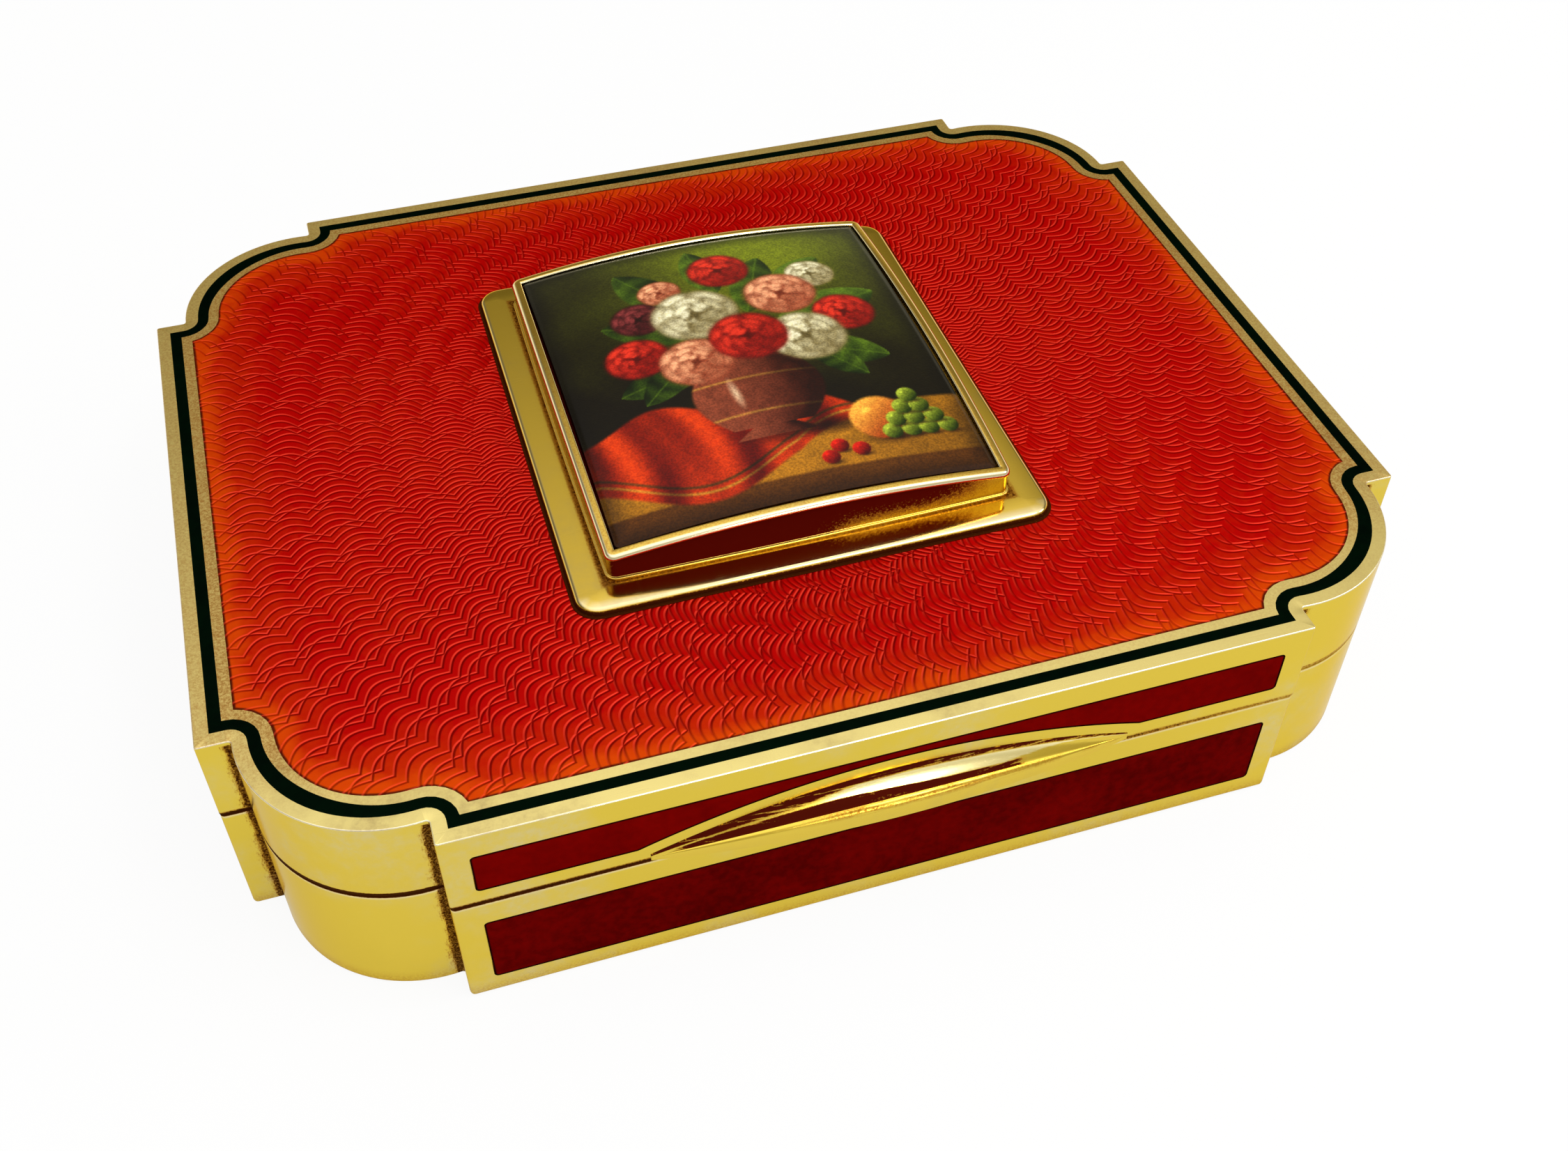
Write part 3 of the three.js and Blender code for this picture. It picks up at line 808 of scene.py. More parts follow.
class Effects:
    """The node groups, each built once."""

    AMBER = srgb(200, 160, 130)
    WANDER = 0.6  # millimetres that the engraved rows stray either way
    GROUP = 4  # rays in a group of the engraving, which overlaps the next by one at each side
    CUT_SIZES = ("Rays", "Pitch", "Swing", "Shift", "Groove")
    STEEPNESS = 2.0  # how soon a wall of a cut is seen in full
    PROBE_ASIDE, PROBE_AHEAD = 0.35, -0.94  # where the engraving's light comes from

    def __init__(self, plan: BoxPlan) -> None:
        """Build every group.

        Args:
            plan: The box's outline, which the grime in its steps follows.
        """
        self.plan = plan
        self.clouds = self.build_clouds()
        self.scratches = self.build_scratches()
        self.step_grime = self.build_step_grime()
        self.worn_metal = self.build_worn_metal()
        self.fired_glass = self.build_fired_glass()
        self.ray_cut = self.build_ray_cut()
        self.engine_turning = self.build_engine_turning()

    def build_clouds(self) -> Tree:
        """Build soft uneven patches, from broad ones to small spots.

        Returns:
            The group.
        """
        effect = Effect("clouds", ["Amount"], ["Mask"])
        place = effect.object_place()
        broad = effect.between(effect.noise(place, size=14, detail=4, rough=0.6), 0.45, 0.7)
        fine = effect.between(effect.noise(place, size=1.1, detail=5, rough=0.7), 0.35, 0.75)
        both = effect.sum("MULTIPLY", broad, effect.sum("MULTIPLY_ADD", fine, 0.7, 0.3))
        effect.give(Mask=effect.sum("MULTIPLY", both, effect.given["Amount"], clamp=True))
        return effect.tree

    def build_scratches(self) -> Tree:
        """Build fine scratches in two directions.

        Returns:
            The group.
        """
        effect = Effect("scratches", ["Amount"], ["Mask"])
        long_ones = effect.noise(effect.stretched((0.06, 1, 1), 0.35), size=0.16, detail=2, rough=0.5)
        cross_ones = effect.noise(effect.stretched((1, 0.05, 1), -0.6), size=0.2, detail=2, rough=0.5)
        lines = effect.sum(
            "MAXIMUM", effect.between(long_ones, 0.62, 0.72), effect.between(cross_ones, 0.64, 0.74)
        )
        effect.give(Mask=effect.sum("MULTIPLY", lines, effect.given["Amount"]))
        return effect.tree

    def build_step_grime(self) -> Tree:
        """Build the brown bloom that polishing leaves in the four corners' steps.

        Returns:
            The group.
        """
        effect = Effect("step_grime", ["Reach", "Amount", "Top"], ["Mask"])
        place = effect.object_place()
        x, y, z = effect.apart(effect.vector("ABSOLUTE", place))
        folded = effect.flat(x, y)
        spots = []
        for reflex in (self.plan.long_reflex, self.plan.short_reflex):
            spot = (abs(reflex.x) * MM, abs(reflex.y) * MM, 0)
            spots.append(effect.vector("DISTANCE", folded, spot))
        upright = effect.noise(effect.stretched((0.2, 0.2, 1)), size=2.6, detail=1, rough=0.5)
        reach = effect.sum("MULTIPLY", effect.sum("MULTIPLY", upright, 2.0), effect.given["Reach"])
        away = effect.sum("SUBTRACT", effect.sum("MINIMUM", *spots), self.plan.reflex_radius * MM)
        near = effect.sum("DIVIDE", away, reach)
        flecks = effect.noise(effect.stretched((1, 1, 0.35)), size=0.22, detail=4, rough=0.7)
        fleck = effect.sum("SUBTRACT", flecks, 0.5)
        fading = effect.between(near, 0.0, 1.2, start=0.6, end=-0.5)
        loose = effect.between(effect.sum("MULTIPLY_ADD", fleck, 2.4, fading), 0.0, 0.8, end=0.5)
        packed = effect.between(effect.sum("MULTIPLY_ADD", fleck, 0.6, near), 0.08, 0.32, start=0.95, end=0.0)
        bloom = effect.sum("MAXIMUM", loose, packed)
        under_top = effect.sum("SUBTRACT", z, effect.given["Top"])
        below = effect.between(under_top, -0.2 * MM, 0.0, start=1.0, end=0.0)
        strength = effect.sum("MULTIPLY", effect.given["Amount"], below)
        effect.give(Mask=effect.sum("MULTIPLY", bloom, strength, clamp=True))
        return effect.tree

    def build_worn_metal(self) -> Tree:
        """Build polished metal with clouding, scratches, dirt and painted shade, and rubbed parts that carry
        painted highlights.

        Returns:
            The group.
        """
        effect = Effect(
            "worn_metal",
            ["Bright", "Cloudy", "Grime Colour", "Polish", "Clouding", "Scratching", "Streaking", "Grime"],
            ["Colour", "Roughness", "Bareness", "Height"],
        )
        given = effect.given
        clouds = effect.placed(self.clouds, Amount=given["Clouding"]).outputs[0]
        lines = effect.placed(self.scratches, Amount=given["Scratching"]).outputs[0]
        grain = effect.noise(effect.object_place(), size=0.2, detail=4, rough=0.75)
        speckle = effect.between(grain, 0.3, 0.7, start=0.5, end=1.3)
        drawn = effect.noise(effect.stretched((0.05, 0.05, 1)), size=0.22, detail=3, rough=0.6)
        streak = effect.between(drawn, 0.36, 0.52)
        streak = effect.sum("MULTIPLY_ADD", effect.sum("SUBTRACT", streak, 1.0), given["Streaking"], 1.0)
        grime_and_shade = effect.sum("MULTIPLY", effect.sum("MULTIPLY", given["Grime"], speckle), streak, clamp=True)
        tinted = effect.mix(clouds, given["Bright"], given["Cloudy"])
        # The stain and dirt masks lay real dirt and painted shade alike.
        stain, dirt = effect.between(grime_and_shade, 0.0, 0.6), effect.between(grime_and_shade, 0.3, 1.0)
        stained = effect.mix(stain, tinted, self.AMBER, "MULTIPLY")
        effect.give(Colour=effect.mix(dirt, stained, given["Grime Colour"]))
        rough = effect.sum("MULTIPLY_ADD", clouds, 0.12, given["Polish"])
        rough = effect.sum("MULTIPLY_ADD", lines, 0.1, rough)
        effect.give(Roughness=effect.sum("MULTIPLY_ADD", grime_and_shade, 0.25, rough, clamp=True))
        effect.give(Bareness=effect.sum("MULTIPLY_ADD", dirt, -0.8, 1.0))
        effect.give(Height=effect.sum("SUBTRACT", 1.0, lines))
        return effect.tree

    def build_fired_glass(self) -> Tree:
        """Build the depth of translucent enamel, which thins, and is painted darker at its rim as shade where
        it meets the metal.

        Returns:
            The group.
        """
        effect = Effect(
            "fired_glass",
            ["Deep", "Thin", "Rim Colour", "Thinness", "Rim", "Mottle"],
            ["Colour", "Roughness"],
        )
        given = effect.given
        place = effect.object_place()
        broad = effect.between(effect.noise(place, size=9, detail=3, rough=0.55), 0.3, 0.7)
        fine = effect.between(effect.noise(place, size=0.9, detail=3, rough=0.6), 0.3, 0.7)
        uneven = effect.sum("MULTIPLY", effect.noise(place, size=0.16, detail=2, rough=0.6), 0.25)
        uneven = effect.sum("MULTIPLY_ADD", broad, 0.4, uneven)
        uneven = effect.sum("MULTIPLY_ADD", fine, 0.35, uneven)
        uneven = effect.sum("MULTIPLY", effect.sum("SUBTRACT", uneven, 0.5), given["Mottle"])
        thin = effect.sum("ADD", given["Thinness"], uneven, clamp=True)
        body = effect.mix(thin, given["Deep"], given["Thin"])
        dots = effect.noise(place, size=0.35, detail=2, rough=0.5)
        specks = effect.between(dots, 0.74, 0.8, end=0.6)
        edge = effect.sum("MAXIMUM", given["Rim"], specks)
        effect.give(Colour=effect.mix(edge, body, given["Rim Colour"]))
        effect.give(Roughness=effect.sum("MULTIPLY_ADD", fine, 0.08, 0.3))
        return effect.tree

    def build_ray_cut(self) -> Tree:
        """Build the depth of the engraving: scalloped rays in groups.

        A ray wanders to one side by the rise of a row of arcs whose ends are sharp.
        Every second group has its arcs moved along the ray, and the groups overlap by
        a ray at each side, so that their rays cross.

        Returns:
            The group.
        """
        effect = Effect("ray_cut", [*self.CUT_SIZES, "Aside", "Ahead"], ["Height"])
        given = effect.given
        probe = effect.flat(given["Aside"], given["Ahead"])
        place = effect.vector("ADD", effect.object_place(), probe)
        slow = effect.noise(place, size=22, detail=1, rough=0.5)
        wander = effect.sum("MULTIPLY_ADD", slow, 2 * self.WANDER * MM, -self.WANDER * MM)
        x, y, _ = effect.apart(place)
        radius = effect.vector("LENGTH", effect.flat(x, y))
        travel = effect.sum("ADD", radius, wander)
        angle = effect.sum("ARCTAN2", y, x)
        per_turn = effect.sum("DIVIDE", given["Rays"], 2 * math.pi)
        steady = effect.sum("MULTIPLY", angle, per_turn)
        spread = effect.sum("DIVIDE", radius, effect.sum("MULTIPLY", per_turn, given["Groove"]))
        walls = []
        for start in (0, self.GROUP):
            along = effect.sum("MULTIPLY_ADD", given["Shift"], start / self.GROUP, travel)
            waves = effect.sum("DIVIDE", along, given["Pitch"])
            arch = effect.sum("ABSOLUTE", effect.sum("SINE", effect.sum("MULTIPLY", waves, math.pi)))
            aside = effect.sum("DIVIDE", effect.sum("MULTIPLY", arch, given["Swing"]), radius)
            ray = effect.sum("MULTIPLY_ADD", aside, per_turn, steady)
            cycle = effect.sum("WRAP", effect.sum("ADD", ray, start), self.GROUP + 2.0, -2.0)
            middle = effect.sum("MAXIMUM", effect.sum("ROUND", cycle), 0.0)
            middle = effect.sum("MINIMUM", middle, float(self.GROUP))
            gap = effect.sum("ABSOLUTE", effect.sum("SUBTRACT", cycle, middle))
            walls.append(effect.sum("MULTIPLY", gap, spread, clamp=True))
        effect.give(Height=effect.sum("MINIMUM", *walls))
        return effect.tree

    def build_engine_turning(self) -> Tree:
        """Build the engraved ground: its depth, and which wall of a cut faces front or back, where highlight
        and shade are painted.

        Returns:
            The group.
        """
        outputs = ["Height", "Cut", "Front Wall", "Back Wall"]
        effect = Effect("engine_turning", [*self.CUT_SIZES, "Probe"], outputs)
        given = effect.given
        shared = {name: given[name] for name in self.CUT_SIZES}
        here = effect.placed(self.ray_cut, **shared).outputs[0]
        aside = effect.sum("MULTIPLY", given["Probe"], self.PROBE_ASIDE)
        ahead = effect.sum("MULTIPLY", given["Probe"], self.PROBE_AHEAD)
        beside = effect.placed(self.ray_cut, **shared, Aside=aside, Ahead=ahead).outputs[0]
        drop = effect.sum("SUBTRACT", here, beside)
        effect.give(Height=here)
        effect.give(Cut=effect.between(here, 0.0, 0.9, start=1.0, end=0.0))
        effect.give(Front_Wall=effect.sum("MULTIPLY", drop, self.STEEPNESS, clamp=True))
        effect.give(Back_Wall=effect.sum("MULTIPLY", drop, -self.STEEPNESS, clamp=True))
        return effect.tree


def new_material(name: str) -> tuple[Material, Graph, Node]:
    """Make a material with a Principled shader.

    Args:
        name: Name of the material.

    Returns:
        The material, its graph and the shader's node.
    """
    material = bpy.data.materials.new(name)
    material.use_nodes = True
    graph = Graph(material.node_tree)
    shader = graph.node("ShaderNodeBsdfPrincipled")
    output = graph.node("ShaderNodeOutputMaterial")
    graph.feed(output.inputs["Surface"], shader.outputs[0])
    return material, graph, shader


@dataclass(frozen=True)
class Metal:
    """A metal finish with its rubbing, dirt, painted shade and painted highlights."""

    name: str
    bright: Colour
    cloudy: Colour = srgb(176, 158, 112)
    grime_and_shade: Colour = srgb(80, 34, 4)
    bare_and_highlight: Colour = srgb(252, 244, 216)
    edge_tint: Colour = srgb(252, 238, 198)
    polish: float = 0.16
    clouding: float = 0.35
    scratching: float = 0.35
    streaking: float = 0.0
    step_reach: float = 0.0
    step_top: float = 22.0
    step_dirt: float = 0.95
    scratch_depth: float = 0.002

    def material(self, effects: Effects) -> Material:
        """Build the finish.

        Args:
            effects: The node groups.

        Returns:
            The material.
        """
        material, graph, shader = new_material(self.name)
        grime_and_shade = graph.attribute("grime_and_shade")
        if self.step_reach:
            steps = graph.placed(
                effects.step_grime, Reach=self.step_reach * MM, Amount=self.step_dirt, Top=self.step_top * MM
            )
            grime_and_shade = graph.sum("MAXIMUM", grime_and_shade, steps.outputs[0])
        # The pale rubbed colour also paints highlights, and the dark attribute also paints shade.
        worn = graph.placed(
            effects.worn_metal,
            Bright=graph.mix(graph.attribute("wear_and_highlight"), self.bright, self.bare_and_highlight),
            Cloudy=self.cloudy,
            Grime_Colour=self.grime_and_shade,
            Polish=self.polish,
            Clouding=self.clouding,
            Scratching=self.scratching,
            Streaking=self.streaking,
            Grime=grime_and_shade,
        )
        graph.fill(
            shader.inputs,
            Base_Color=worn.outputs["Colour"],
            Roughness=worn.outputs["Roughness"],
            Normal=graph.bump(worn.outputs["Height"], self.scratch_depth),
            Metallic=worn.outputs["Bareness"],
            Specular_IOR_Level=0.0,
            Specular_Tint=self.edge_tint,
        )
        return material


@dataclass(frozen=True)
class Gloss:
    """The shine of fired glass: its own, tinted by its colour, and a thin clear coat."""

    tint: Colour
    level: float = 0.5
    metallic: float = 0.0
    coat: float = 0.05
    coat_roughness: float = 0.05

    def put_on(self, shader: Node) -> None:
        """Set the shader's own sockets.

        Args:
            shader: The Principled shader.
        """
        shader.inputs["Metallic"].default_value = self.metallic
        shader.inputs["Specular IOR Level"].default_value = self.level
        shader.inputs["Specular Tint"].default_value = self.tint
        shader.inputs["Coat Weight"].default_value = self.coat
        shader.inputs["Coat Roughness"].default_value = self.coat_roughness


@dataclass(frozen=True)
class Glass:
    """A translucent or opaque enamel finish."""

    name: str
    deep: Colour
    thin: Colour
    rim: Colour
    gloss: Gloss
    mottle: float = 0.5
    thinness: float = 0.35

    def material(self, effects: Effects) -> Material:
        """Build the finish.

        Args:
            effects: The node groups.

        Returns:
            The material.
        """
        material, graph, shader = new_material(self.name)
        glass = graph.placed(
            effects.fired_glass,
            Deep=self.deep,
            Thin=self.thin,
            Rim_Colour=self.rim,
            Thinness=self.thinness,
            Rim=graph.attribute("edge"),
            Mottle=self.mottle,
        )
        graph.feed(shader.inputs["Base Color"], glass.outputs["Colour"])
        graph.feed(shader.inputs["Roughness"], glass.outputs["Roughness"])
        self.gloss.put_on(shader)
        return material


@dataclass(frozen=True)
class EngravedGlass:
    """Red enamel over an engraved ground, orange where it thins out to its border, with painted highlight and
    painted shade on the walls of its cuts.
    """

    name: str = "engraved_red_enamel"
    deep: Colour = srgb(174, 5, 3)
    thin: Colour = srgb(206, 66, 4)
    rim: Colour = srgb(70, 20, 6)
    groove: Colour = srgb(126, 0, 0)
    lit: Colour = srgb(234, 64, 44)
    shaded: Colour = srgb(104, 0, 0)
    groove_cover: float = 0.75
    lit_cover: float = 0.62
    shaded_cover: float = 0.6
    mottle: float = 0.35
    rays: float = 280.0
    pitch: float = 3.96
    swing: float = 1.0
    shift: float = 1.2
    groove_half: float = 0.2
    probe: float = 0.1
    depth: float = 0.06
    fade: float = 3.2
    glow: float = 8.0
    gloss: Gloss = Gloss(srgb(255, 60, 40), level=0.0, metallic=0.45, coat=0.02)

    def material(self, effects: Effects) -> Material:
        """Build the finish.

        Args:
            effects: The node groups.

        Returns:
            The material.
        """
        material, graph, shader = new_material(self.name)
        turning = graph.placed(
            effects.engine_turning,
            Rays=self.rays,
            Pitch=self.pitch * MM,
            Swing=self.swing * MM,
            Shift=self.shift * MM,
            Groove=self.groove_half * MM,
            Probe=self.probe * MM,
        )
        edge = graph.attribute("edge_distance")
        uneven = graph.noise(graph.object_place(), size=5, detail=4, rough=0.65)
        reach = graph.sum("MULTIPLY_ADD", graph.sum("SUBTRACT", uneven, 0.5), -5.0, edge)
        border = graph.between(reach, 0.2, self.fade, start=0.95, end=0.0)
        glow = graph.between(edge, 1.0, self.glow, start=0.28, end=0.0)
        # The ragged dark rim is dirt and painted shade where the field meets the metal.
        ragged = graph.sum("MULTIPLY_ADD", uneven, -0.3, edge)
        glass = graph.placed(
            effects.fired_glass,
            Deep=self.deep,
            Thin=self.thin,
            Rim_Colour=self.rim,
            Thinness=graph.sum("MAXIMUM", border, glow),
            Rim=graph.between(ragged, -0.06, 0.14, start=0.95, end=0.0),
            Mottle=self.mottle,
        )
        colour = glass.outputs["Colour"]
        clear = graph.between(edge, 0.3, 2.2, start=0.45)
        # Darker grooves, then painted shade on the cuts' back walls and painted highlight on their front
        # walls.
        for mask, share, tone in (
            ("Cut", self.groove_cover, self.groove),
            ("Back Wall", self.shaded_cover, self.shaded),
            ("Front Wall", self.lit_cover, self.lit),
        ):
            seen = graph.sum("MULTIPLY", turning.outputs[mask], graph.sum("MULTIPLY", clear, share))
            colour = graph.mix(seen, colour, tone)
        graph.feed(shader.inputs["Base Color"], colour)
        graph.feed(shader.inputs["Roughness"], glass.outputs["Roughness"])
        graph.feed(shader.inputs["Normal"], graph.bump(turning.outputs["Height"], self.depth))
        self.gloss.put_on(shader)
        return material


@dataclass(frozen=True)
class PaintedGlass:
    """Painted enamel: the colours that the mesh holds, stippled, under a clear coat."""

    name: str = "painted_enamel"
    stipple: float = 0.16
    relief: float = 0.01
    gloss: Gloss = Gloss(srgb(150, 120, 90), level=0.2, coat=0.15)

    def material(self, effects: Effects) -> Material:
        """Build the finish.

        Args:
            effects: The node groups.

        Returns:
            The material.
        """
        material, graph, shader = new_material(self.name)
        colour = graph.node("ShaderNodeAttribute", attribute_name="painting").outputs["Color"]
        dots = graph.noise(graph.object_place(), size=0.22, detail=3, rough=0.6)
        grain = graph.between(dots, 0.3, 0.7, start=0.5 - self.stipple, end=0.5 + self.stipple)
        graph.feed(shader.inputs["Base Color"], graph.mix(1.0, colour, grain, "OVERLAY"))
        clouds = graph.placed(effects.clouds, Amount=1.0).outputs[0]
        graph.feed(shader.inputs["Roughness"], graph.sum("MULTIPLY_ADD", clouds, 0.15, 0.35))
        graph.feed(shader.inputs["Normal"], graph.bump(grain, self.relief))
        self.gloss.put_on(shader)
        return material


class Finishes:
    """Every material, built once from the shared effects."""

    def __init__(self, effects: Effects) -> None:
        """Build the materials.

        Args:
            effects: The node groups.
        """
        pale = srgb(222, 208, 152)
        self.side_gilt = Metal(
            "side_gilt", srgb(232, 204, 76), pale, srgb(60, 25, 4), clouding=0.9, step_reach=1.0
        ).material(effects)
        # The top's gilt is satin, and it is paler than the sides' gilt as painted light.
        self.top_gilt = Metal(
            "top_gilt", srgb(236, 216, 134), srgb(170, 144, 92), polish=0.26, clouding=0.8, scratching=0.6
        ).material(effects)
        # The thumbpiece's dark red stands for patina and a painted dark reflection, and its pale colour for a
        # painted highlight.
        self.thumb_gilt = Metal(
            "thumb_gilt",
            srgb(232, 202, 78),
            grime_and_shade=srgb(70, 15, 6),
            bare_and_highlight=srgb(255, 240, 176),
            polish=0.2,
            scratching=0.4,
            streaking=0.85,
        ).material(effects)
        # Its dark colour also paints the shade under the plate's rolled edge.
        self.mount_gilt = Metal(
            "mount_gilt", srgb(226, 190, 72), grime_and_shade=srgb(56, 22, 4), polish=0.1, clouding=0.4
        ).material(effects)
        # The bezel's dark red is a painted dark reflection of the red field, with painted shade.
        self.rim_gilt = Metal(
            "rim_gilt", srgb(232, 200, 92), grime_and_shade=srgb(80, 9, 4), polish=0.14
        ).material(effects)
        self.inside_gilt = Metal(
            "inside_gilt", srgb(214, 182, 88), polish=0.3, clouding=0.6, scratching=0.5
        ).material(effects)
        self.steel = Metal(
            "steel", srgb(190, 188, 180), cloudy=srgb(150, 146, 138), grime_and_shade=srgb(70, 60, 48), polish=0.28
        ).material(effects)
        self.engraved_red = EngravedGlass().material(effects)
        dark = Glass(
            "lid_panel_red",
            deep=srgb(94, 0, 0),
            thin=srgb(128, 4, 1),
            rim=srgb(20, 2, 2),
            gloss=Gloss(srgb(220, 40, 20), level=0.0, metallic=0.3, coat=0.01),
            mottle=0.9,
        )
        # The base's panels are a darker copy of the lid's, as painted shade.
        shaded_copy = replace(dark, name="base_panel_red_shaded", deep=srgb(74, 0, 0), thin=srgb(116, 3, 1), mottle=1.2)
        self.panel_red = {Body.LID: dark.material(effects), Body.BASE: shaded_copy.material(effects)}
        self.black_glass = Glass(
            "black_enamel",
            deep=srgb(1, 5, 3),
            thin=srgb(2, 20, 6),
            rim=srgb(1, 2, 1),
            gloss=Gloss(srgb(20, 90, 50), level=0.0, metallic=0.3, coat=0.01),
        ).material(effects)
        self.painted = PaintedGlass().material(effects)


# Making pieces


def dress(thing: bpy.types.Object, materials: Sequence[Material]) -> None:
    """Give an object its materials and drop the ones it had.

    Args:
        thing: The object.
        materials: Its new materials.
    """
    if thing.data.materials:
        thing.data.materials.clear()
    for material in materials:
        thing.data.materials.append(material)


class Workbench:
    """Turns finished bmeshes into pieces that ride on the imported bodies."""

    def __init__(self, nodes: dict[str, bpy.types.Object]) -> None:
        """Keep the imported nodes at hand.

        Args:
            nodes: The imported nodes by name.
        """
        self.nodes = nodes

    def piece(
        self,
        bm: BMesh,
        name: str,
        body: Body,
        slot: Slot,
        materials: Sequence[Material],
        replaces: Sequence[str],
    ) -> None:
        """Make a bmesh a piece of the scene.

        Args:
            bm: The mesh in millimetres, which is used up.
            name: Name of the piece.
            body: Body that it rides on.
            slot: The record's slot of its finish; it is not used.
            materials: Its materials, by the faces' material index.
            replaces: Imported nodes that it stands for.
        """
        bmesh.ops.scale(bm, vec=(MM, MM, MM), verts=bm.verts[:])
        for face in bm.faces:
            face.smooth = True
        for edge in bm.edges:
            edge.smooth = edge.calc_face_angle(0.0) < SMOOTH_ANGLE
        thing = linked(name, loose_mesh(bm, name))
        dress(thing, materials)
        normals = thing.modifiers.new("even_shading", "WEIGHTED_NORMAL")
        normals.keep_sharp = True
        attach(thing, body.value)
        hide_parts(*replaces)
        LOG.info("%s rides on %s and has %d faces", name, body.value, len(thing.data.polygons))

    def keep(self, name: str, material: Material, bevel: float = 0.0) -> None:
        """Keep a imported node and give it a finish, with its edges eased.

        Args:
            name: Name of the node.
            material: Its material.
            bevel: Width of the eased edges, or 0 to leave them.
        """
        node = self.nodes[name]
        dress(node, [material])
        if bevel:
            node.modifiers.new("weld", "WELD").merge_threshold = WELD * MM
            easing = node.modifiers.new("easing", "BEVEL")
            easing.width = bevel * MM
            easing.segments = 2
            easing.limit_method = "ANGLE"
            easing.angle_limit = SMOOTH_ANGLE
        LOG.info("%s is kept as packed", name)


# The box


@dataclass(frozen=True)
class Side:
    """One of the four sides of the box."""

    face: Face
    turn: float
    reach: float
    half: float

    def onto(self, bm: BMesh) -> BMesh:
        """Turn a mesh made for the front onto this side.

        Args:
            bm: The mesh.

        Returns:
            The same mesh.
        """
        turn = Matrix.Rotation(self.turn, 4, "Z") @ Matrix.Translation((0, -self.reach, 0))
        bmesh.ops.transform(bm, matrix=turn, verts=bm.verts[:])
        return bm


@dataclass(frozen=True)
class Bow:
    """Circle through two points level with each other and one above their middle."""

    half_chord: float
    chord_level: float
    apex_level: float

    @property
    def radius(self) -> float:
        """Radius of the circle."""
        rise = self.apex_level - self.chord_level
        return (self.half_chord**2 + rise**2) / (2 * rise)

    @property
    def centre(self) -> float:
        """Level of its middle."""
        return self.apex_level - self.radius

    def level(self, across: float) -> float:
        """Give the circle's upper level at a distance across."""
        return self.centre + math.sqrt(self.radius**2 - across**2)


@dataclass
class Shell:
    """Sizes that base, lid, hinge and mount share."""

    bench: Workbench
    finishes: Finishes
    plan: BoxPlan
    wall: float = 1.2
    base_height: float = 13.35
    lid_height: float = 8.95
    inlay_depth: float = 0.6
    panel_gap: float = 0.05
    panel_margin: float = 2.35
    panel_corner: float = 0.4
    panel_edge: float = 0.09
    panel_rim: float = 0.12
    panel_seat: float = 0.1
    panel_corner_steps: int = 6
    bow_steps: int = 48
    rim_shade: float = 0.55
    beyond: float = 1.0
    axis_inset: float = 0.6
    barrel_slot: float = 1.65
    hinge_length: float = 60.6
    stop_angle: float = math.radians(104)
    thumb_bow: Bow = Bow(22.5, 1.75, 5.4)

    @property
    def sides(self) -> list[Side]:
        """The four sides, from the front counterclockwise."""
        long_reach, short_reach = self.plan.width / 2, self.plan.length / 2
        return [
            Side(Face.FRONT, 0.0, long_reach, self.plan.half_long),
            Side(Face.RIGHT, QUARTER, short_reach, self.plan.half_short),
            Side(Face.BACK, 2 * QUARTER, long_reach, self.plan.half_long),
            Side(Face.LEFT, -QUARTER, short_reach, self.plan.half_short),
        ]

    @property
    def hinge_place(self) -> Vector:
        """Middle of the hinge's axis."""
        return Vector((0, self.plan.width / 2 - self.axis_inset, self.base_height))

    @property
    def lid_top(self) -> float:
        """Level of the lid's upper face."""
        return self.base_height + self.lid_height


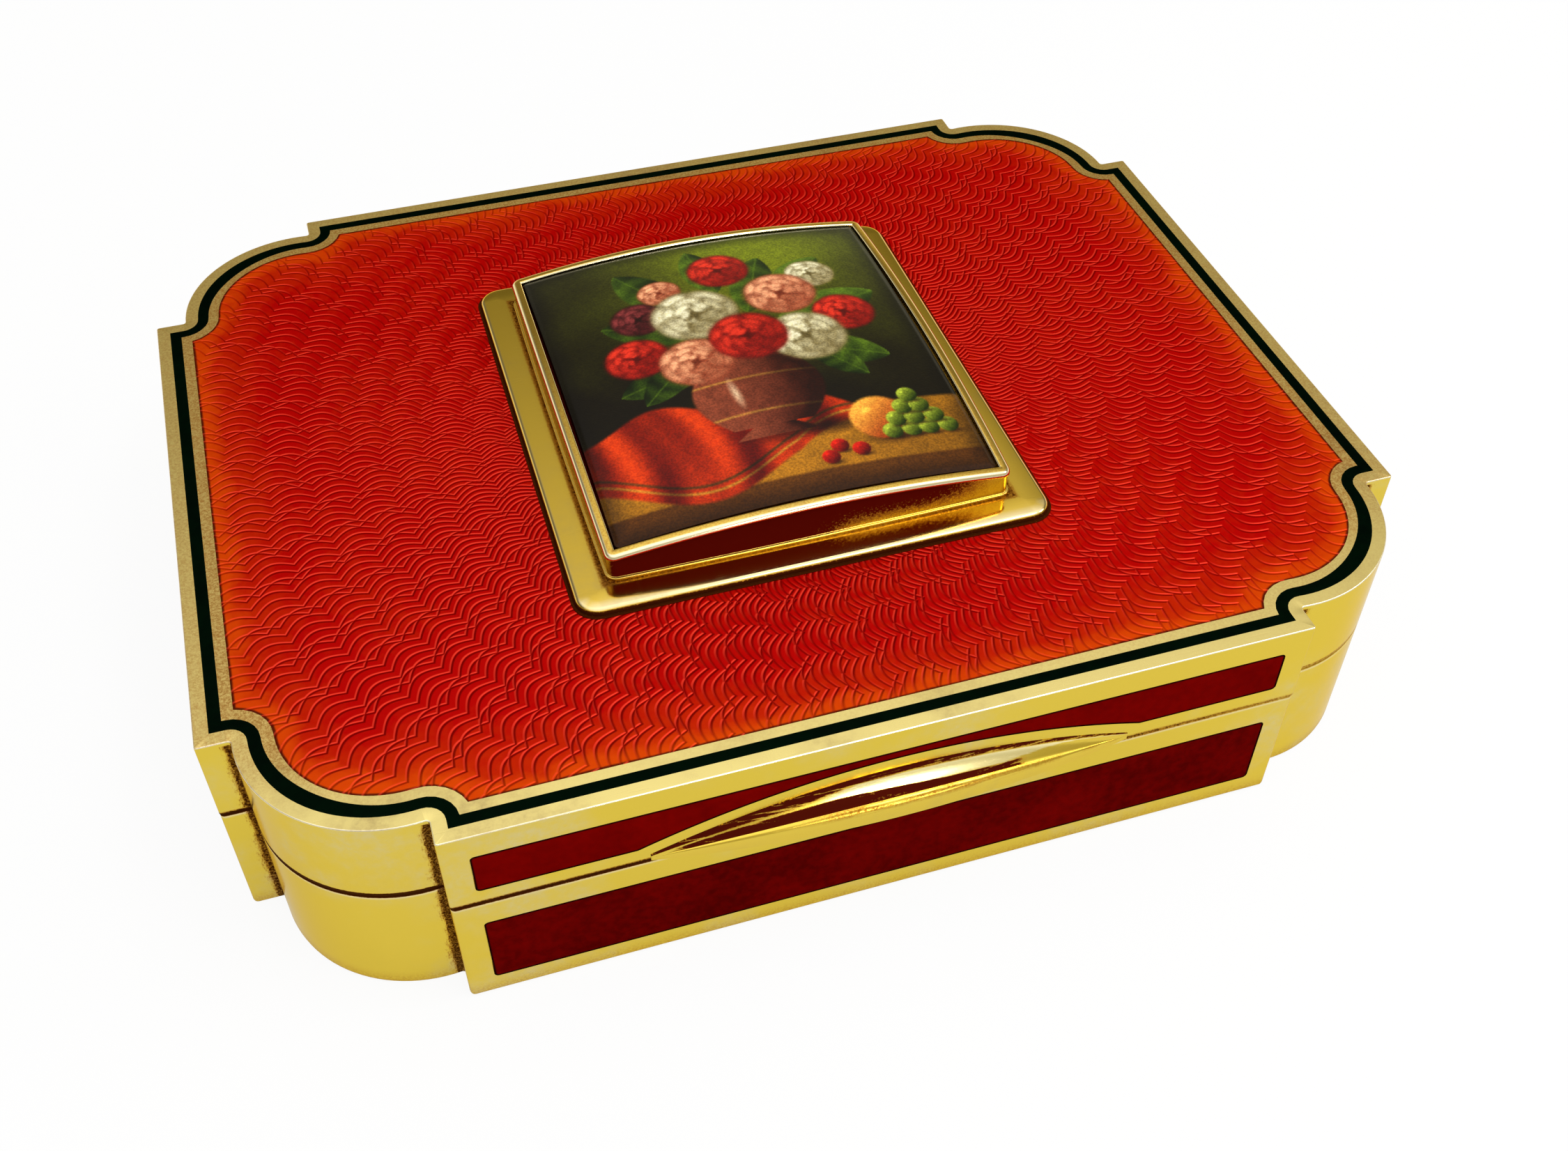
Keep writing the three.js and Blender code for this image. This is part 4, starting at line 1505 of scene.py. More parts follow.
@dataclass
class Half(Shell):
    """Base or lid: a shell whose four sides hold enamel panels in beds."""

    body: Body = Body.BASE
    panel_bottom: float = 0.0
    panel_top: float = 0.0
    bowed: Face | None = None

    def low(self, _side: Side) -> float:
        """Give the level of a panel's lower edge."""
        return self.panel_bottom

    def parting_grime(self, place: Vector) -> float:
        """Give the dirt in the joint between base and lid, most of it at the corners.

        Args:
            place: Place on the wall.

        Returns:
            The dirt there.
        """
        at_corner = abs(place.x) > self.plan.half_long + 0.5 and abs(place.y) > self.plan.half_short + 0.5
        above = place.z - self.base_height
        most = 2.0 - 1.5 * ramp(place.x, -38.0, 10.0)
        if above < 0:
            return most * (1 - ramp(-above, 0.12, 0.24))
        return most * (1 - (ramp(above, 0.33, 0.5) if at_corner else ramp(above, 0.2, 0.4)))

    def places(self, plan: BoxPlan, insets: Iterable[float]) -> set[tuple[float, ...]]:
        """Give the plan's points at some insets, to hundredths of a millimetre.

        Args:
            plan: The outline.
            insets: How far inside it.

        Returns:
            The places.
        """
        return {key(p[:2], 2) for inset in insets for p in plan.ring(inset, 0.0)}

    def panel_outline(self, side: Side, grow: float) -> list[Vector]:
        """Draw a side panel as seen from the front.

        Args:
            side: The side that it lies on.
            grow: How much wider it is drawn all round.

        Returns:
            The outline, counterclockwise, in the front's plane. The bow over the
            thumbpiece cuts into it on the bowed side.
        """
        right = side.half - self.panel_margin + grow
        bottom, top, r = self.low(side) - grow, self.panel_top + grow, self.panel_corner + grow
        flat: list[Vector] = []
        if side.face is self.bowed:
            radius = self.thumb_bow.radius - grow
            centre = Vector((0, self.thumb_bow.centre + self.base_height, 0))
            angle = math.asin((bottom - centre.y) / radius)
            flat += arc(centre, radius, math.pi - angle, angle, self.bow_steps)
        corners = (
            (right - r, bottom + r, -QUARTER),
            (right - r, top - r, 0.0),
            (-right + r, top - r, QUARTER),
            (-right + r, bottom + r, 2 * QUARTER),
        )
        for x, z, start in corners:
            flat += arc(Vector((x, z, 0)), r, start, start + QUARTER, self.panel_corner_steps)
        return [Vector((p.x, 0, p.y)) for p in flat]

    def panel(self, side: Side) -> BMesh:
        """Make the enamel of one side panel, with its surface rolled down to its rim.

        Args:
            side: The side that it lies on.

        Returns:
            The mesh.
        """
        depth = Vector((0, self.inlay_depth - self.panel_seat, 0))
        bm = prism(self.panel_outline(side, 0.0), depth)
        front = min(bm.faces, key=lambda face: face.calc_center_median().y)
        bmesh.ops.bevel(
            bm,
            geom=front.edges[:],
            offset=self.panel_edge,
            offset_type="OFFSET",
            segments=3,
            profile=0.5,
            affect="EDGES",
            material=-1,
            clamp_overlap=True,
        )
        front = max((f for f in bm.faces if f.normal.y < -0.99), key=lambda face: face.calc_area())
        rim = set(front.verts)
        bmesh.ops.inset_region(bm, faces=[front], thickness=self.panel_rim, use_even_offset=True)
        layer = bm.verts.layers.float.new("edge")
        inner = set(front.verts)
        # Painted shade at the panel's rim, darkest on its rolled edge and sides.
        for vert in bm.verts:
            vert[layer] = 0.0 if vert in inner else self.rim_shade if vert in rim else 1.0
        return side.onto(bm)

    def beds(self) -> list[BMesh]:
        """Make the tools that cut the panels' beds.

        Returns:
            The tools.
        """
        tools = []
        for side in self.sides:
            outline = self.panel_outline(side, self.panel_gap)
            start = [point + Vector((0, -self.beyond, 0)) for point in outline]
            tools.append(side.onto(prism(start, Vector((0, self.beyond + self.inlay_depth, 0)))))
        return tools

    def hinge_tools(self) -> list[BMesh]:
        """Make the tools that clear the back wall for the hinge.

        Returns:
            The barrel's channel and the bevel that stops the lid.
        """
        place = self.hinge_place
        reach = self.axis_inset + self.beyond
        drop = reach * math.tan(self.stop_angle / 2) * (1 if self.body is Body.LID else -1)
        span = 2 * (self.plan.half_long + self.beyond)
        bevel = [place, place + Vector((0, reach, 0)), place + Vector((0, reach, drop))]
        start = Vector((-span / 2, 0, 0))
        wedge = prism([point + start for point in bevel], Vector((span, 0, 0)))
        return [wedge, bar_along_x(self.barrel_slot, self.hinge_length, place)]

    def add_panels(self) -> None:
        """Add the four side panels."""
        for side in self.sides:
            name, node = (f"{self.body.value}_{word}_{side.face.value}" for word in ("enamel", "panel"))
            red = [self.finishes.panel_red[self.body]]
            self.bench.piece(self.panel(side), name, self.body, Slot.DARK_RED, red, [node])


@dataclass
class Base(Half):
    """The lower half: shell, side panels, inner rim and the hinge's bearer."""

    panel_top: float = 10.45
    panel_bottom: float = 2.4
    floor: float = 1.2
    floor_reach: float = 3.0
    lower_edge: float = 0.6
    tip_radius: float = 0.45
    parting_edge: float = 0.26

    def build_shell(self) -> None:
        """Build walls and floor in one piece, as they look when polished over."""
        plan = replace(self.plan, tip_radius=self.tip_radius)
        path = rounded(
            (self.floor_reach, 0.0, 0),
            (0.0, 0.0, self.lower_edge),
            (0.0, 2.2, 0),
            (0.0, self.base_height - 2 * self.parting_edge, 0),
            (0.0, self.base_height, self.parting_edge),
            (self.wall, self.base_height, 0.1),
            (self.wall, self.floor, 0.3),
            (self.floor_reach, self.floor, 0),
        )
        bm = carved(sweep(plan, path), self.beds() + self.hinge_tools())
        outside = self.places(plan, [inset for inset, _ in path if inset < 0.2])

        def grime_and_shade(place: Vector) -> float:
            """Give the dirt in the joint, and the stain and painted shade along the foot, outside only.

            Args:
                place: Place on the shell.

            Returns:
                The dirt and painted shade there.
            """
            if key(place[:2], 2) not in outside:
                return 0.0
            return max(self.parting_grime(place), 0.3 * (1 - ramp(place.z, 0.3, 2.2)))

        mark(bm, "grime_and_shade", grime_and_shade)
        # A pale band just below the joint: rubbed edge and painted highlight.
        mark(bm, "wear_and_highlight", lambda place: 0.5 * float(-0.3 < place.z - self.base_height < -0.2))
        self.bench.piece(
            bm, "base_shell", Body.BASE, Slot.GILT, [self.finishes.side_gilt], ["base_wall", "base_floor"]
        )

    def build(self) -> None:
        """Build the whole base."""
        self.build_shell()
        self.add_panels()
        self.bench.keep("base_inner_rim", self.finishes.inside_gilt, 0.12)
        self.bench.keep("base_hinge_bearer", self.finishes.inside_gilt)


@dataclass
class Lid(Half):
    """The upper half: shell, enamels, side panels, lining and thumbpiece."""

    body: Body = Body.LID
    bowed: Face | None = Face.FRONT
    panel_top: float = 19.65
    panel_bottom: float = 15.1
    back_panel_bottom: float = 15.9
    top_thickness: float = 1.6
    top_edge: float = 0.11
    parting_edge: float = 0.16
    line_outer: float = 1.28
    line_inner: float = 2.36
    field_inset: float = 3.37
    field_sink: float = 0.008
    field_reach: float = 8.0
    inlay_gap: float = 0.01
    thumb_root: Bow = Bow(21.5, 0.75, 4.1)
    thumb_plan: Bow = Bow(21.5, 0.06, 2.1)
    lip: float = 2.1
    lip_round: float = 0.65
    scoop_power: float = 1.54
    crest: float = 0.05
    sunk: float = 0.1

    def low(self, side: Side) -> float:
        """Give the lower edge of a panel, which is higher over the hinge."""
        return self.back_panel_bottom if side.face is Face.BACK else self.panel_bottom

    def build_shell(self) -> None:
        """Build walls and top in one piece, with the beds of the line and the field."""
        parting, top, bed = self.base_height, self.lid_top, self.lid_top - self.inlay_depth
        ceiling = top - self.top_thickness
        path = rounded(
            (self.wall + 1, ceiling, 0),
            (self.wall, ceiling, 0.2),
            (self.wall, parting, 0.1),
            (0.0, parting, self.parting_edge),
            (0.0, parting + 2 * self.parting_edge, 0),
            (0.0, parting + 3 * self.parting_edge, 0),
            (0.0, top, self.top_edge),
            (self.line_outer, top, 0),
            (self.line_outer, bed, 0),
            (self.line_inner, bed, 0),
            (self.line_inner, top, 0),
            (self.field_inset, top, 0),
            (self.field_inset, bed, 0),
            (self.field_inset + 1, bed, 0),
        )
        bm = carved(sweep(self.plan, path), self.beds() + self.hinge_tools())
        for face in bm.faces:
            level = face.calc_center_median().z
            face.material_index = int(face.normal.z > 0.3 and level > top - self.top_edge)
        inner = self.places(self.plan, (self.line_inner, self.field_inset))
        outside = self.places(self.plan, [inset for inset, _ in path if inset < 0.1])

        def grime_and_shade(place: Vector) -> float:
            """Give the dirt of the joint, and tarnish and painted shade on the top's strips, darker towards
            the back and the right.

            Args:
                place: Place on the shell.

            Returns:
                The dirt and painted shade there, most of it round the field.
            """
            spot = key(place[:2], 2)
            if place.z > top - 0.05:
                strip_shade = max(ramp(place.y, -42.0, -30.0), 0.45 * ramp(place.x, 20.0, 44.0))
                return 0.08 + 0.36 * strip_shade if spot in inner else 0.3 * strip_shade
            return self.parting_grime(place) if spot in outside else 0.0

        mark(bm, "grime_and_shade", grime_and_shade)
        # The top's rounded edge is paler: rubbed edge and painted highlight.
        mark(bm, "wear_and_highlight", lambda place: float(-self.top_edge + 0.02 < place.z - top < -0.005))
        self.bench.piece(
            bm,
            "lid_shell",
            Body.LID,
            Slot.GILT,
            [self.finishes.side_gilt, self.finishes.top_gilt],
            ["lid_wall", "lid_top_plate"],
        )

    def build_line(self) -> None:
        """Build the dark enamel line round the top."""
        low, top = self.lid_top - self.inlay_depth, self.lid_top
        outer, inner = self.line_outer + self.inlay_gap, self.line_inner - self.inlay_gap
        path = rounded(
            (outer, low, 0),
            (outer, top - 0.02, 0),
            (outer + 0.1, top - 0.006, 0),
            (inner - 0.1, top - 0.006, 0),
            (inner, top - 0.02, 0),
            (inner, low, 0),
            (outer, low, 0),
        )
        bm = sweep(self.plan, path, capped=False)
        self.bench.piece(
            bm, "lid_line_enamel", Body.LID, Slot.BLACK, [self.finishes.black_glass], ["lid_border_line"]
        )

    def build_field(self) -> None:
        """Build the engraved red field in rings that hold their distance from its rim."""
        low, top = self.lid_top - self.inlay_depth, self.lid_top
        rim = self.field_inset + self.inlay_gap
        rolled = ((0.0, 0.03), (0.08, 0.02), (0.2, 0.012), (0.5, 0.01))
        path = [(rim + 1, low), (rim, low)] + [(rim + out, top - drop) for out, drop in rolled]
        path += [(rim + out, top - self.field_sink) for out in (1.0, 2.0, 3.5, 5.5, self.field_reach)]
        rings = [self.plan.ring(inset, height) for inset, height in path]
        bm = skin(rings, True)
        levels = {}
        for (inset, _), ring in zip(path, rings):
            for point in ring:
                levels[key(point[:2])] = inset - rim
        layer = bm.verts.layers.float.new("edge_distance")
        for vert in bm.verts:
            vert[layer] = levels.get(key(vert.co[:2]), self.field_reach)
        self.bench.piece(
            bm, "lid_field_enamel", Body.LID, Slot.RED, [self.finishes.engraved_red], ["lid_enamel_field"]
        )

    def scoop_patina_and_light(self, x: float, share: float) -> tuple[float, float]:
        """Give the scoop's patina with its painted dark reflection, and its painted highlight.

        Args:
            x: Place along the thumbpiece.
            share: Place across it, from 0 at the crest to 1 at the lip.

        Returns:
            The patina with the painted dark reflection, and the painted highlight.
        """
        root = 0.5 - 0.18 * ramp(x, -10.0, -3.0)
        turn = 0.52 + 0.14 * ramp(x, -6.0, 5.0) - 0.34 * ramp(x, 8.0, 17.0)
        crest = (3.0 - 1.6 * ramp(x, -10.0, 21.0)) * (1 - ramp(share, root - 0.2, root))
        # The crest's patina is real; the dark band near the scoop's bottom is a painted reflection, and the
        # second value a painted highlight.
        dark_reflection = 8.0 * ramp(share, turn, turn + 0.06) * ramp(x, -20.0, -15.0) * (1 - ramp(x, 6.0, 12.0))
        return max(crest, dark_reflection), float(root - 0.03 < share < turn) * ramp(x, -8.0, -4.0)

    def lip_shade(self, x: float, share: float) -> float:
        """Give the painted shade on the thumbpiece's lip, a soft darker band under the scoop.

        Args:
            x: Place along the thumbpiece.
            share: How far round the lip, from its foot to the hollow.

        Returns:
            The painted shade there.
        """
        band = ramp(share, 0.1, 0.55) * (1 - 0.4 * ramp(share, 0.8, 1.0))
        return 0.5 * band * ramp(x, -12, -4) * (1 - 0.3 * ramp(x, 3, 12)) * (1 - ramp(x, 19.5, 21.4))

    def build_thumbpiece(self) -> None:
        """Build the scooped crescent from upright sections, from end to end."""
        half, stations, lip_steps, cove_steps = self.thumb_root.half_chord, 110, 8, 30
        rings, marks = [], {}
        for station in range(stations + 1):
            x = -half * math.cos(math.pi * station / stations)
            high, reach = self.thumb_root.level(x), self.thumb_plan.level(x)
            lip = self.lip * high / self.thumb_root.apex_level
            round_off = self.lip_round * reach / self.thumb_plan.apex_level
            ease = round_off / 5
            ring = [Vector((x, self.sunk, 0)), Vector((x, ease - reach, 0)), Vector((x, -reach, ease))]
            for i in range(lip_steps + 1):
                angle = QUARTER * i / lip_steps
                out = reach - round_off + round_off * math.cos(angle)
                point = Vector((x, -out, lip / 2 + lip / 2 * math.sin(angle)))
                ring.append(point)
                marks[key(point)] = (self.lip_shade(x, i / lip_steps), 0.0)
            for i in range(cove_steps - 1, -1, -1):
                angle = QUARTER * i / cove_steps
                width = reach - round_off - self.crest
                out = self.crest + width * (1 - math.cos(angle) ** self.scoop_power)
                point = Vector((x, -out, high - (high - lip) * math.sin(angle) ** self.scoop_power))
                ring.append(point)
                marks[key(point)] = self.scoop_patina_and_light(x, i / cove_steps)
            ring.append(Vector((x, self.sunk, high)))
            rings.append(ring)
        bm = skin(rings, True)
        # The marks carry patina, painted shade, a painted dark reflection and a painted highlight.
        for index, name in enumerate(("grime_and_shade", "wear_and_highlight")):
            mark(bm, name, lambda place: marks.get(key(place), (0.0, 0.0))[index])
        shift(bm, (0, -self.plan.width / 2, self.base_height))
        gilt = [self.finishes.thumb_gilt]
        self.bench.piece(bm, "thumb_crescent", Body.LID, Slot.GILT, gilt, ["thumbpiece"])

    def build(self) -> None:
        """Build the whole lid."""
        self.build_shell()
        self.build_line()
        self.build_field()
        self.add_panels()
        self.build_thumbpiece()
        self.bench.keep("lid_lining", self.finishes.inside_gilt, 0.15)
        self.bench.keep("lid_hinge_bearer", self.finishes.inside_gilt)


@dataclass
class Hinge(Shell):
    """Knuckles of base and lid in turn along one pin."""

    knuckles: int = 9
    span: float = 60.0
    gap: float = 0.3
    radius: float = 1.4
    bore: float = 0.65
    edge: float = 0.2
    pin: float = 0.5
    pin_edge: float = 0.2
    pin_faces: int = 32

    def build(self) -> None:
        """Build the knuckles and the pin."""
        length = (self.span - (self.knuckles - 1) * self.gap) / self.knuckles
        for i in range(self.knuckles):
            body = Body.LID if i % 2 else Body.BASE
            half = length / 2
            path = rounded(
                (self.bore, -half, 0),
                (self.radius, -half, self.edge),
                (self.radius, half, self.edge),
                (self.bore, half, 0),
                (self.bore, -half, 0),
            )
            place = self.hinge_place + Vector((-self.span / 2 + half + i * (length + self.gap), 0, 0))
            bm = turned_along_x(path, place, ROUND_FACES)
            node = f"{body.value}_knuckle_{i // 2 + 1}"
            name = f"{body.value}_barrel_{i // 2 + 1}"
            self.bench.piece(bm, name, body, Slot.GILT, [self.finishes.mount_gilt], [node])
        ends = rounded(
            (0.0, -self.span / 2, 0),
            (self.pin, -self.span / 2, self.pin_edge),
            (self.pin, self.span / 2, self.pin_edge),
            (0.0, self.span / 2, 0),
        )
        bm = turned_along_x(ends, self.hinge_place, self.pin_faces)
        self.bench.piece(bm, "hinge_rod", Body.BASE, Slot.STEEL, [self.finishes.steel], ["hinge_pin"])


class StillLife:
    """Small painting of flowers and fruit, laid in soft dabs on a grid of points."""

    DARK = np.array((0.07, 0.06, 0.015))
    GLOW = np.array((0.42, 0.46, 0.08))

    def __init__(self, columns: int, rows: int, breadth: float, seed: int = 11) -> None:
        """Start with a bare ground.

        Args:
            columns: Points across.
            rows: Points upwards.
            breadth: Half the breadth where half the height is 1.
            seed: Seed of the brush's small changes.
        """
        self.x, self.y = np.meshgrid(np.linspace(-breadth, breadth, columns), np.linspace(-1, 1, rows))
        self.paint = np.zeros((rows, columns, 3))
        self.random = np.random.default_rng(seed)

    def lay(self, cover: np.ndarray, colour: np.ndarray) -> None:
        """Lay a colour over the painting.

        Args:
            cover: How much of it covers each point.
            colour: One colour, or one for each point.
        """
        self.paint += (colour - self.paint) * cover[..., None]

    def dab(self, x: float, y: float, rx: float, ry: float, turn: float, soft: float) -> np.ndarray:
        """Give the cover of one oval dab.

        Args:
            x: Its middle across.
            y: Its middle upwards.
            rx: Half its length.
            ry: Half its breadth.
            turn: How far it is turned, in radians.
            soft: Share of it that fades out.

        Returns:
            The cover of each point.
        """
        along, aside = self.turned(x, y, turn)
        return np.clip((1 - np.hypot(along / rx, aside / ry)) / soft, 0, 1)

    def turned(self, x: float, y: float, turn: float) -> tuple[np.ndarray, np.ndarray]:
        """Give how far each point lies along and aside of a direction from a spot.

        Args:
            x: The spot across.
            y: The spot upwards.
            turn: The direction, in radians.

        Returns:
            The distances along it and aside of it.
        """
        dx, dy = self.x - x, self.y - y
        return dx * math.cos(turn) + dy * math.sin(turn), dy * math.cos(turn) - dx * math.sin(turn)

    def uneven(self, size: float, strength: float) -> np.ndarray:
        """Give soft unevenness, about zero.

        Args:
            size: Size of its patches.
            strength: How strong it is.

        Returns:
            The unevenness of each point.
        """
        total, waves = np.zeros_like(self.x), 14
        for _ in range(waves):
            turn, phase = self.random.uniform(0, 2 * math.pi, 2)
            pace = self.random.uniform(0.5, 1.5) * 2 * math.pi / size
            total += np.sin(pace * (self.x * math.cos(turn) + self.y * math.sin(turn)) + phase)
        return strength * total / math.sqrt(waves)

    def backdrop(self) -> None:
        """Paint the dark wall with a green glow at its upper right."""
        glow = np.exp(-(((self.x - 0.2) / 0.75) ** 2) - ((self.y - 0.8) / 0.65) ** 2)
        glow = np.clip(glow + self.uneven(0.5, 0.07), 0, 1)
        self.lay(np.ones_like(self.x), self.DARK)
        self.lay(glow, self.GLOW)

    def ledge(self) -> None:
        """Paint the ochre ledge that everything stands on."""
        edge = -0.52 + 0.03 * np.sin(2.2 * self.x)
        tone = 0.75 + 0.2 * np.cos(1.7 * (self.x + 0.15)) + self.uneven(0.3, 0.07)
        tone = tone * np.clip(1.15 - 0.35 * (edge - self.y), 0.4, 1.2)
        colour = np.array((0.62, 0.4, 0.09)) * tone[..., None]
        self.lay(np.clip((edge - self.y) / 0.02, 0, 1), colour)
        front = np.clip((-0.86 - self.y) / 0.015, 0, 1)
        self.lay(front * 0.75, np.array((0.24, 0.12, 0.03)))

    def cloth(self) -> None:
        """Paint the red cloth that lies over the ledge's left end in folds."""
        top = -0.3 - 0.22 * (self.x + 0.5) ** 2 + 0.05 * np.sin(9 * self.x)
        low = -0.8 + 0.12 * np.sin(5 * self.x + 0.4) + 0.35 * np.clip(self.x - 0.05, 0, 1)
        cover = np.clip((top - self.y) / 0.02, 0, 1) * np.clip((self.y - low) / 0.02, 0, 1)
        cover *= np.clip((0.62 - self.x) / 0.05, 0, 1)
        swing = self.x + 0.12 * np.sin(3 * self.y) + 0.25 * self.y
        folds = 0.5 + 0.28 * np.sin(17 * swing + 1.1 * np.sin(4 * self.y)) + 0.18 * np.sin(31 * swing)
        dark, light = np.array((0.3, 0.03, 0.01)), np.array((0.86, 0.24, 0.05))
        folds = np.clip(folds, 0, 1)[..., None]
        self.lay(cover, dark + (light - dark) * folds)
        for level, colour in ((0.07, (0.78, 0.6, 0.2)), (0.11, (0.2, 0.22, 0.1))):
            stripe = np.clip(1 - np.abs(self.y - low - level) / 0.014, 0, 1)
            self.lay(cover * stripe * 0.85, np.array(colour) * (0.5 + 0.6 * folds))

    def ball(self, x: float, y: float, size: float, dark: Sequence[float], light: Sequence[float]) -> None:
        """Paint a round fruit lit from the upper left.

        Args:
            x: Its middle across.
            y: Its middle upwards.
            size: Its radius.
            dark: Colour in the shade.
            light: Colour in the light.
        """
        shadow = self.dab(x + 0.25 * size, y - 0.85 * size, 1.15 * size, 0.4 * size, 0, 0.7)
        self.lay(shadow * 0.7, np.array((0.12, 0.06, 0.02)))
        tone = np.clip(0.5 - 0.45 * ((self.x - x) - (self.y - y)) / size, 0, 1)[..., None]
        dark, light = np.array(dark), np.array(light)
        self.lay(self.dab(x, y, size, size, 0, 0.12), dark + (light - dark) * tone)
        gleam = self.dab(x - 0.35 * size, y + 0.38 * size, 0.25 * size, 0.18 * size, 0.7, 0.9)
        self.lay(gleam * 0.8, np.minimum(light * 1.35, 1))

    def urn(self) -> None:
        """Paint the brown footed urn."""
        x, foot, lip = -0.02, -0.6, -0.02
        share = np.clip((self.y - foot) / (lip - foot), 0, 1)
        half = 0.1 + 0.22 * np.sin(np.pi * np.clip(share * 0.92, 0, 1)) ** 0.8
        half = np.where(share < 0.12, 0.2 - 0.8 * share, half)
        half = np.where(share > 0.93, half + 0.06, half)
        across = (self.x - x) / half
        cover = np.clip((1 - np.abs(across)) / 0.05, 0, 1) * ((self.y > foot) & (self.y < lip))
        tone = np.clip(0.62 - 0.55 * across - 0.35 * across**2 + self.uneven(0.12, 0.05), 0, 1)[..., None]
        self.lay(self.dab(0.16, -0.6, 0.4, 0.07, 0, 0.8) * 0.75, np.array((0.08, 0.03, 0.01)))
        dark, light = np.array((0.14, 0.04, 0.02)), np.array((0.56, 0.27, 0.18))
        self.lay(cover, dark + (light - dark) * tone)
        for level in (0.3, 0.72):
            band = np.clip(1 - np.abs(share - level + 0.03 * across**2) / 0.02, 0, 1)
            self.lay(cover * band * 0.8, np.array((0.7, 0.5, 0.2)) * (0.35 + 0.9 * tone))
        self.lay(self.dab(-0.13, -0.28, 0.03, 0.13, 0.1, 0.9) * cover * 0.8, np.array((0.9, 0.78, 0.62)))

    def leaf(self, x: float, y: float, size: float, turn: float, light: float) -> None:
        """Paint a pointed leaf with its vein.

        Args:
            x: Its stalk's end across.
            y: Its stalk's end upwards.
            size: Its length.
            turn: Direction that it points in.
            light: How lit it is, from 0 to 1.
        """
        along, aside = (part / size for part in self.turned(x, y, turn))
        half = 0.24 * np.clip(4 * along * (1 - along), 0, 1) ** 0.8 + 1e-6
        cover = np.clip((1 - np.abs(aside) / half) / 0.12, 0, 1) * ((along > 0) & (along < 1))
        dark, bright = np.array((0.05, 0.1, 0.02)), np.array((0.32, 0.42, 0.1))
        veins = 0.15 * np.sin(26 * along + 9 * np.abs(aside))
        tone = np.clip(light * (0.75 + 0.45 * aside / half) + veins, 0, 1)
        self.lay(cover, dark + (bright - dark) * tone[..., None])
        self.lay(cover * np.clip(1 - np.abs(aside) / 0.018, 0, 1) * 0.6, bright)

    def bloom(self, x: float, y: float, size: float, dark: Sequence[float], light: Sequence[float]) -> None:
        """Paint a full rose, from its outer petals in to its heart.

        Args:
            x: Its middle across.
            y: Its middle upwards.
            size: Its radius.
            dark: Colour between the petals.
            light: Colour of the lit petals.
        """
        dark, light = np.array(dark), np.array(light)
        self.lay(self.dab(x, y, size, 0.94 * size, 0, 0.25), dark + 0.08 * (light - dark))
        start = self.random.uniform(0, 2 * math.pi)
        for ring, (count, out) in enumerate(((7, 0.62), (6, 0.44), (5, 0.28), (4, 0.14))):
            for petal in range(count):
                turn = start + 0.8 * ring + 2 * math.pi * (petal + self.random.uniform(-0.12, 0.12)) / count
                breadth = size * (0.5 - 0.085 * ring)
                px = x + out * size * math.cos(turn)
                py = y + out * size * math.sin(turn) * 0.92
                lit = 0.5 + 0.5 * math.cos(turn - 2.3)
                tone = dark + (light - dark) * (0.3 + 0.7 * lit) * self.random.uniform(0.88, 1.08)
                across = turn + QUARTER
                self.lay(self.dab(px, py, breadth, 0.62 * breadth, across, 0.2) * 0.65, dark * 0.92)
                qx, qy = px + 0.06 * size * math.cos(turn), py + 0.06 * size * math.sin(turn)
                petal_light = self.dab(qx, qy, 0.9 * breadth, 0.5 * breadth, across, 0.55)
                self.lay(petal_light, np.minimum(tone, 1))
        self.lay(self.dab(x, y, 0.16 * size, 0.12 * size, start, 0.8) * 0.8, dark * 0.8)

    def bouquet(self) -> None:
        """Paint leaves and roses, from the back of the bunch to its front."""
        for x, y, size, turn, light in (
            (-0.1, 0.2, 0.55, 2.75, 0.5),
            (0.1, 0.3, 0.5, 1.2, 0.7),
            (0.2, 0.15, 0.6, 0.35, 0.9),
            (-0.2, 0.4, 0.5, 2.1, 0.6),
            (0.25, 0.4, 0.45, 0.75, 1.0),
            (-0.15, 0.0, 0.5, 3.4, 0.45),
            (0.2, 0.0, 0.5, -0.35, 0.7),
            (0.0, 0.5, 0.42, 1.7, 0.8),
            (-0.25, 0.05, 0.4, 3.9, 0.4),
            (0.3, -0.02, 0.35, -0.9, 0.6),
        ):
            self.leaf(x, y, size, turn, light)
        cream = ((0.42, 0.36, 0.2), (0.93, 0.9, 0.74))
        rose = ((0.36, 0.02, 0.02), (0.86, 0.2, 0.13))
        blush = ((0.5, 0.2, 0.12), (0.95, 0.66, 0.48))
        plum = ((0.15, 0.03, 0.05), (0.5, 0.2, 0.2))
        for x, y, size, tones in (
            (-0.42, 0.42, 0.15, plum),
            (0.5, 0.56, 0.14, cream),
            (0.06, 0.7, 0.17, rose),
            (-0.27, 0.6, 0.12, blush),
            (0.56, 0.2, 0.17, rose),
            (-0.5, 0.12, 0.17, rose),
            (0.3, 0.42, 0.2, blush),
            (-0.15, 0.36, 0.24, cream),
            (0.32, 0.05, 0.22, cream),
            (-0.24, 0.0, 0.2, blush),
            (0.05, 0.12, 0.21, rose),
        ):
            self.bloom(x, y, size, *tones)

    def fruit(self) -> None:
        """Paint a peach, cherries and green grapes beside the urn."""
        self.ball(0.46, -0.6, 0.15, (0.5, 0.12, 0.03), (0.95, 0.66, 0.24))
        for row in range(4):
            for grape in range(4 - row):
                gx = 0.5 + 0.085 * (grape + row / 2) + self.random.uniform(-0.012, 0.012)
                gy = -0.7 + 0.075 * row
                self.ball(gx, gy, 0.052, (0.1, 0.16, 0.02), (0.62, 0.68, 0.2))
        for cx, cy in ((0.22, -0.74), (0.31, -0.78), (0.16, -0.8)):
            self.ball(cx, cy, 0.045, (0.25, 0.0, 0.01), (0.82, 0.12, 0.06))

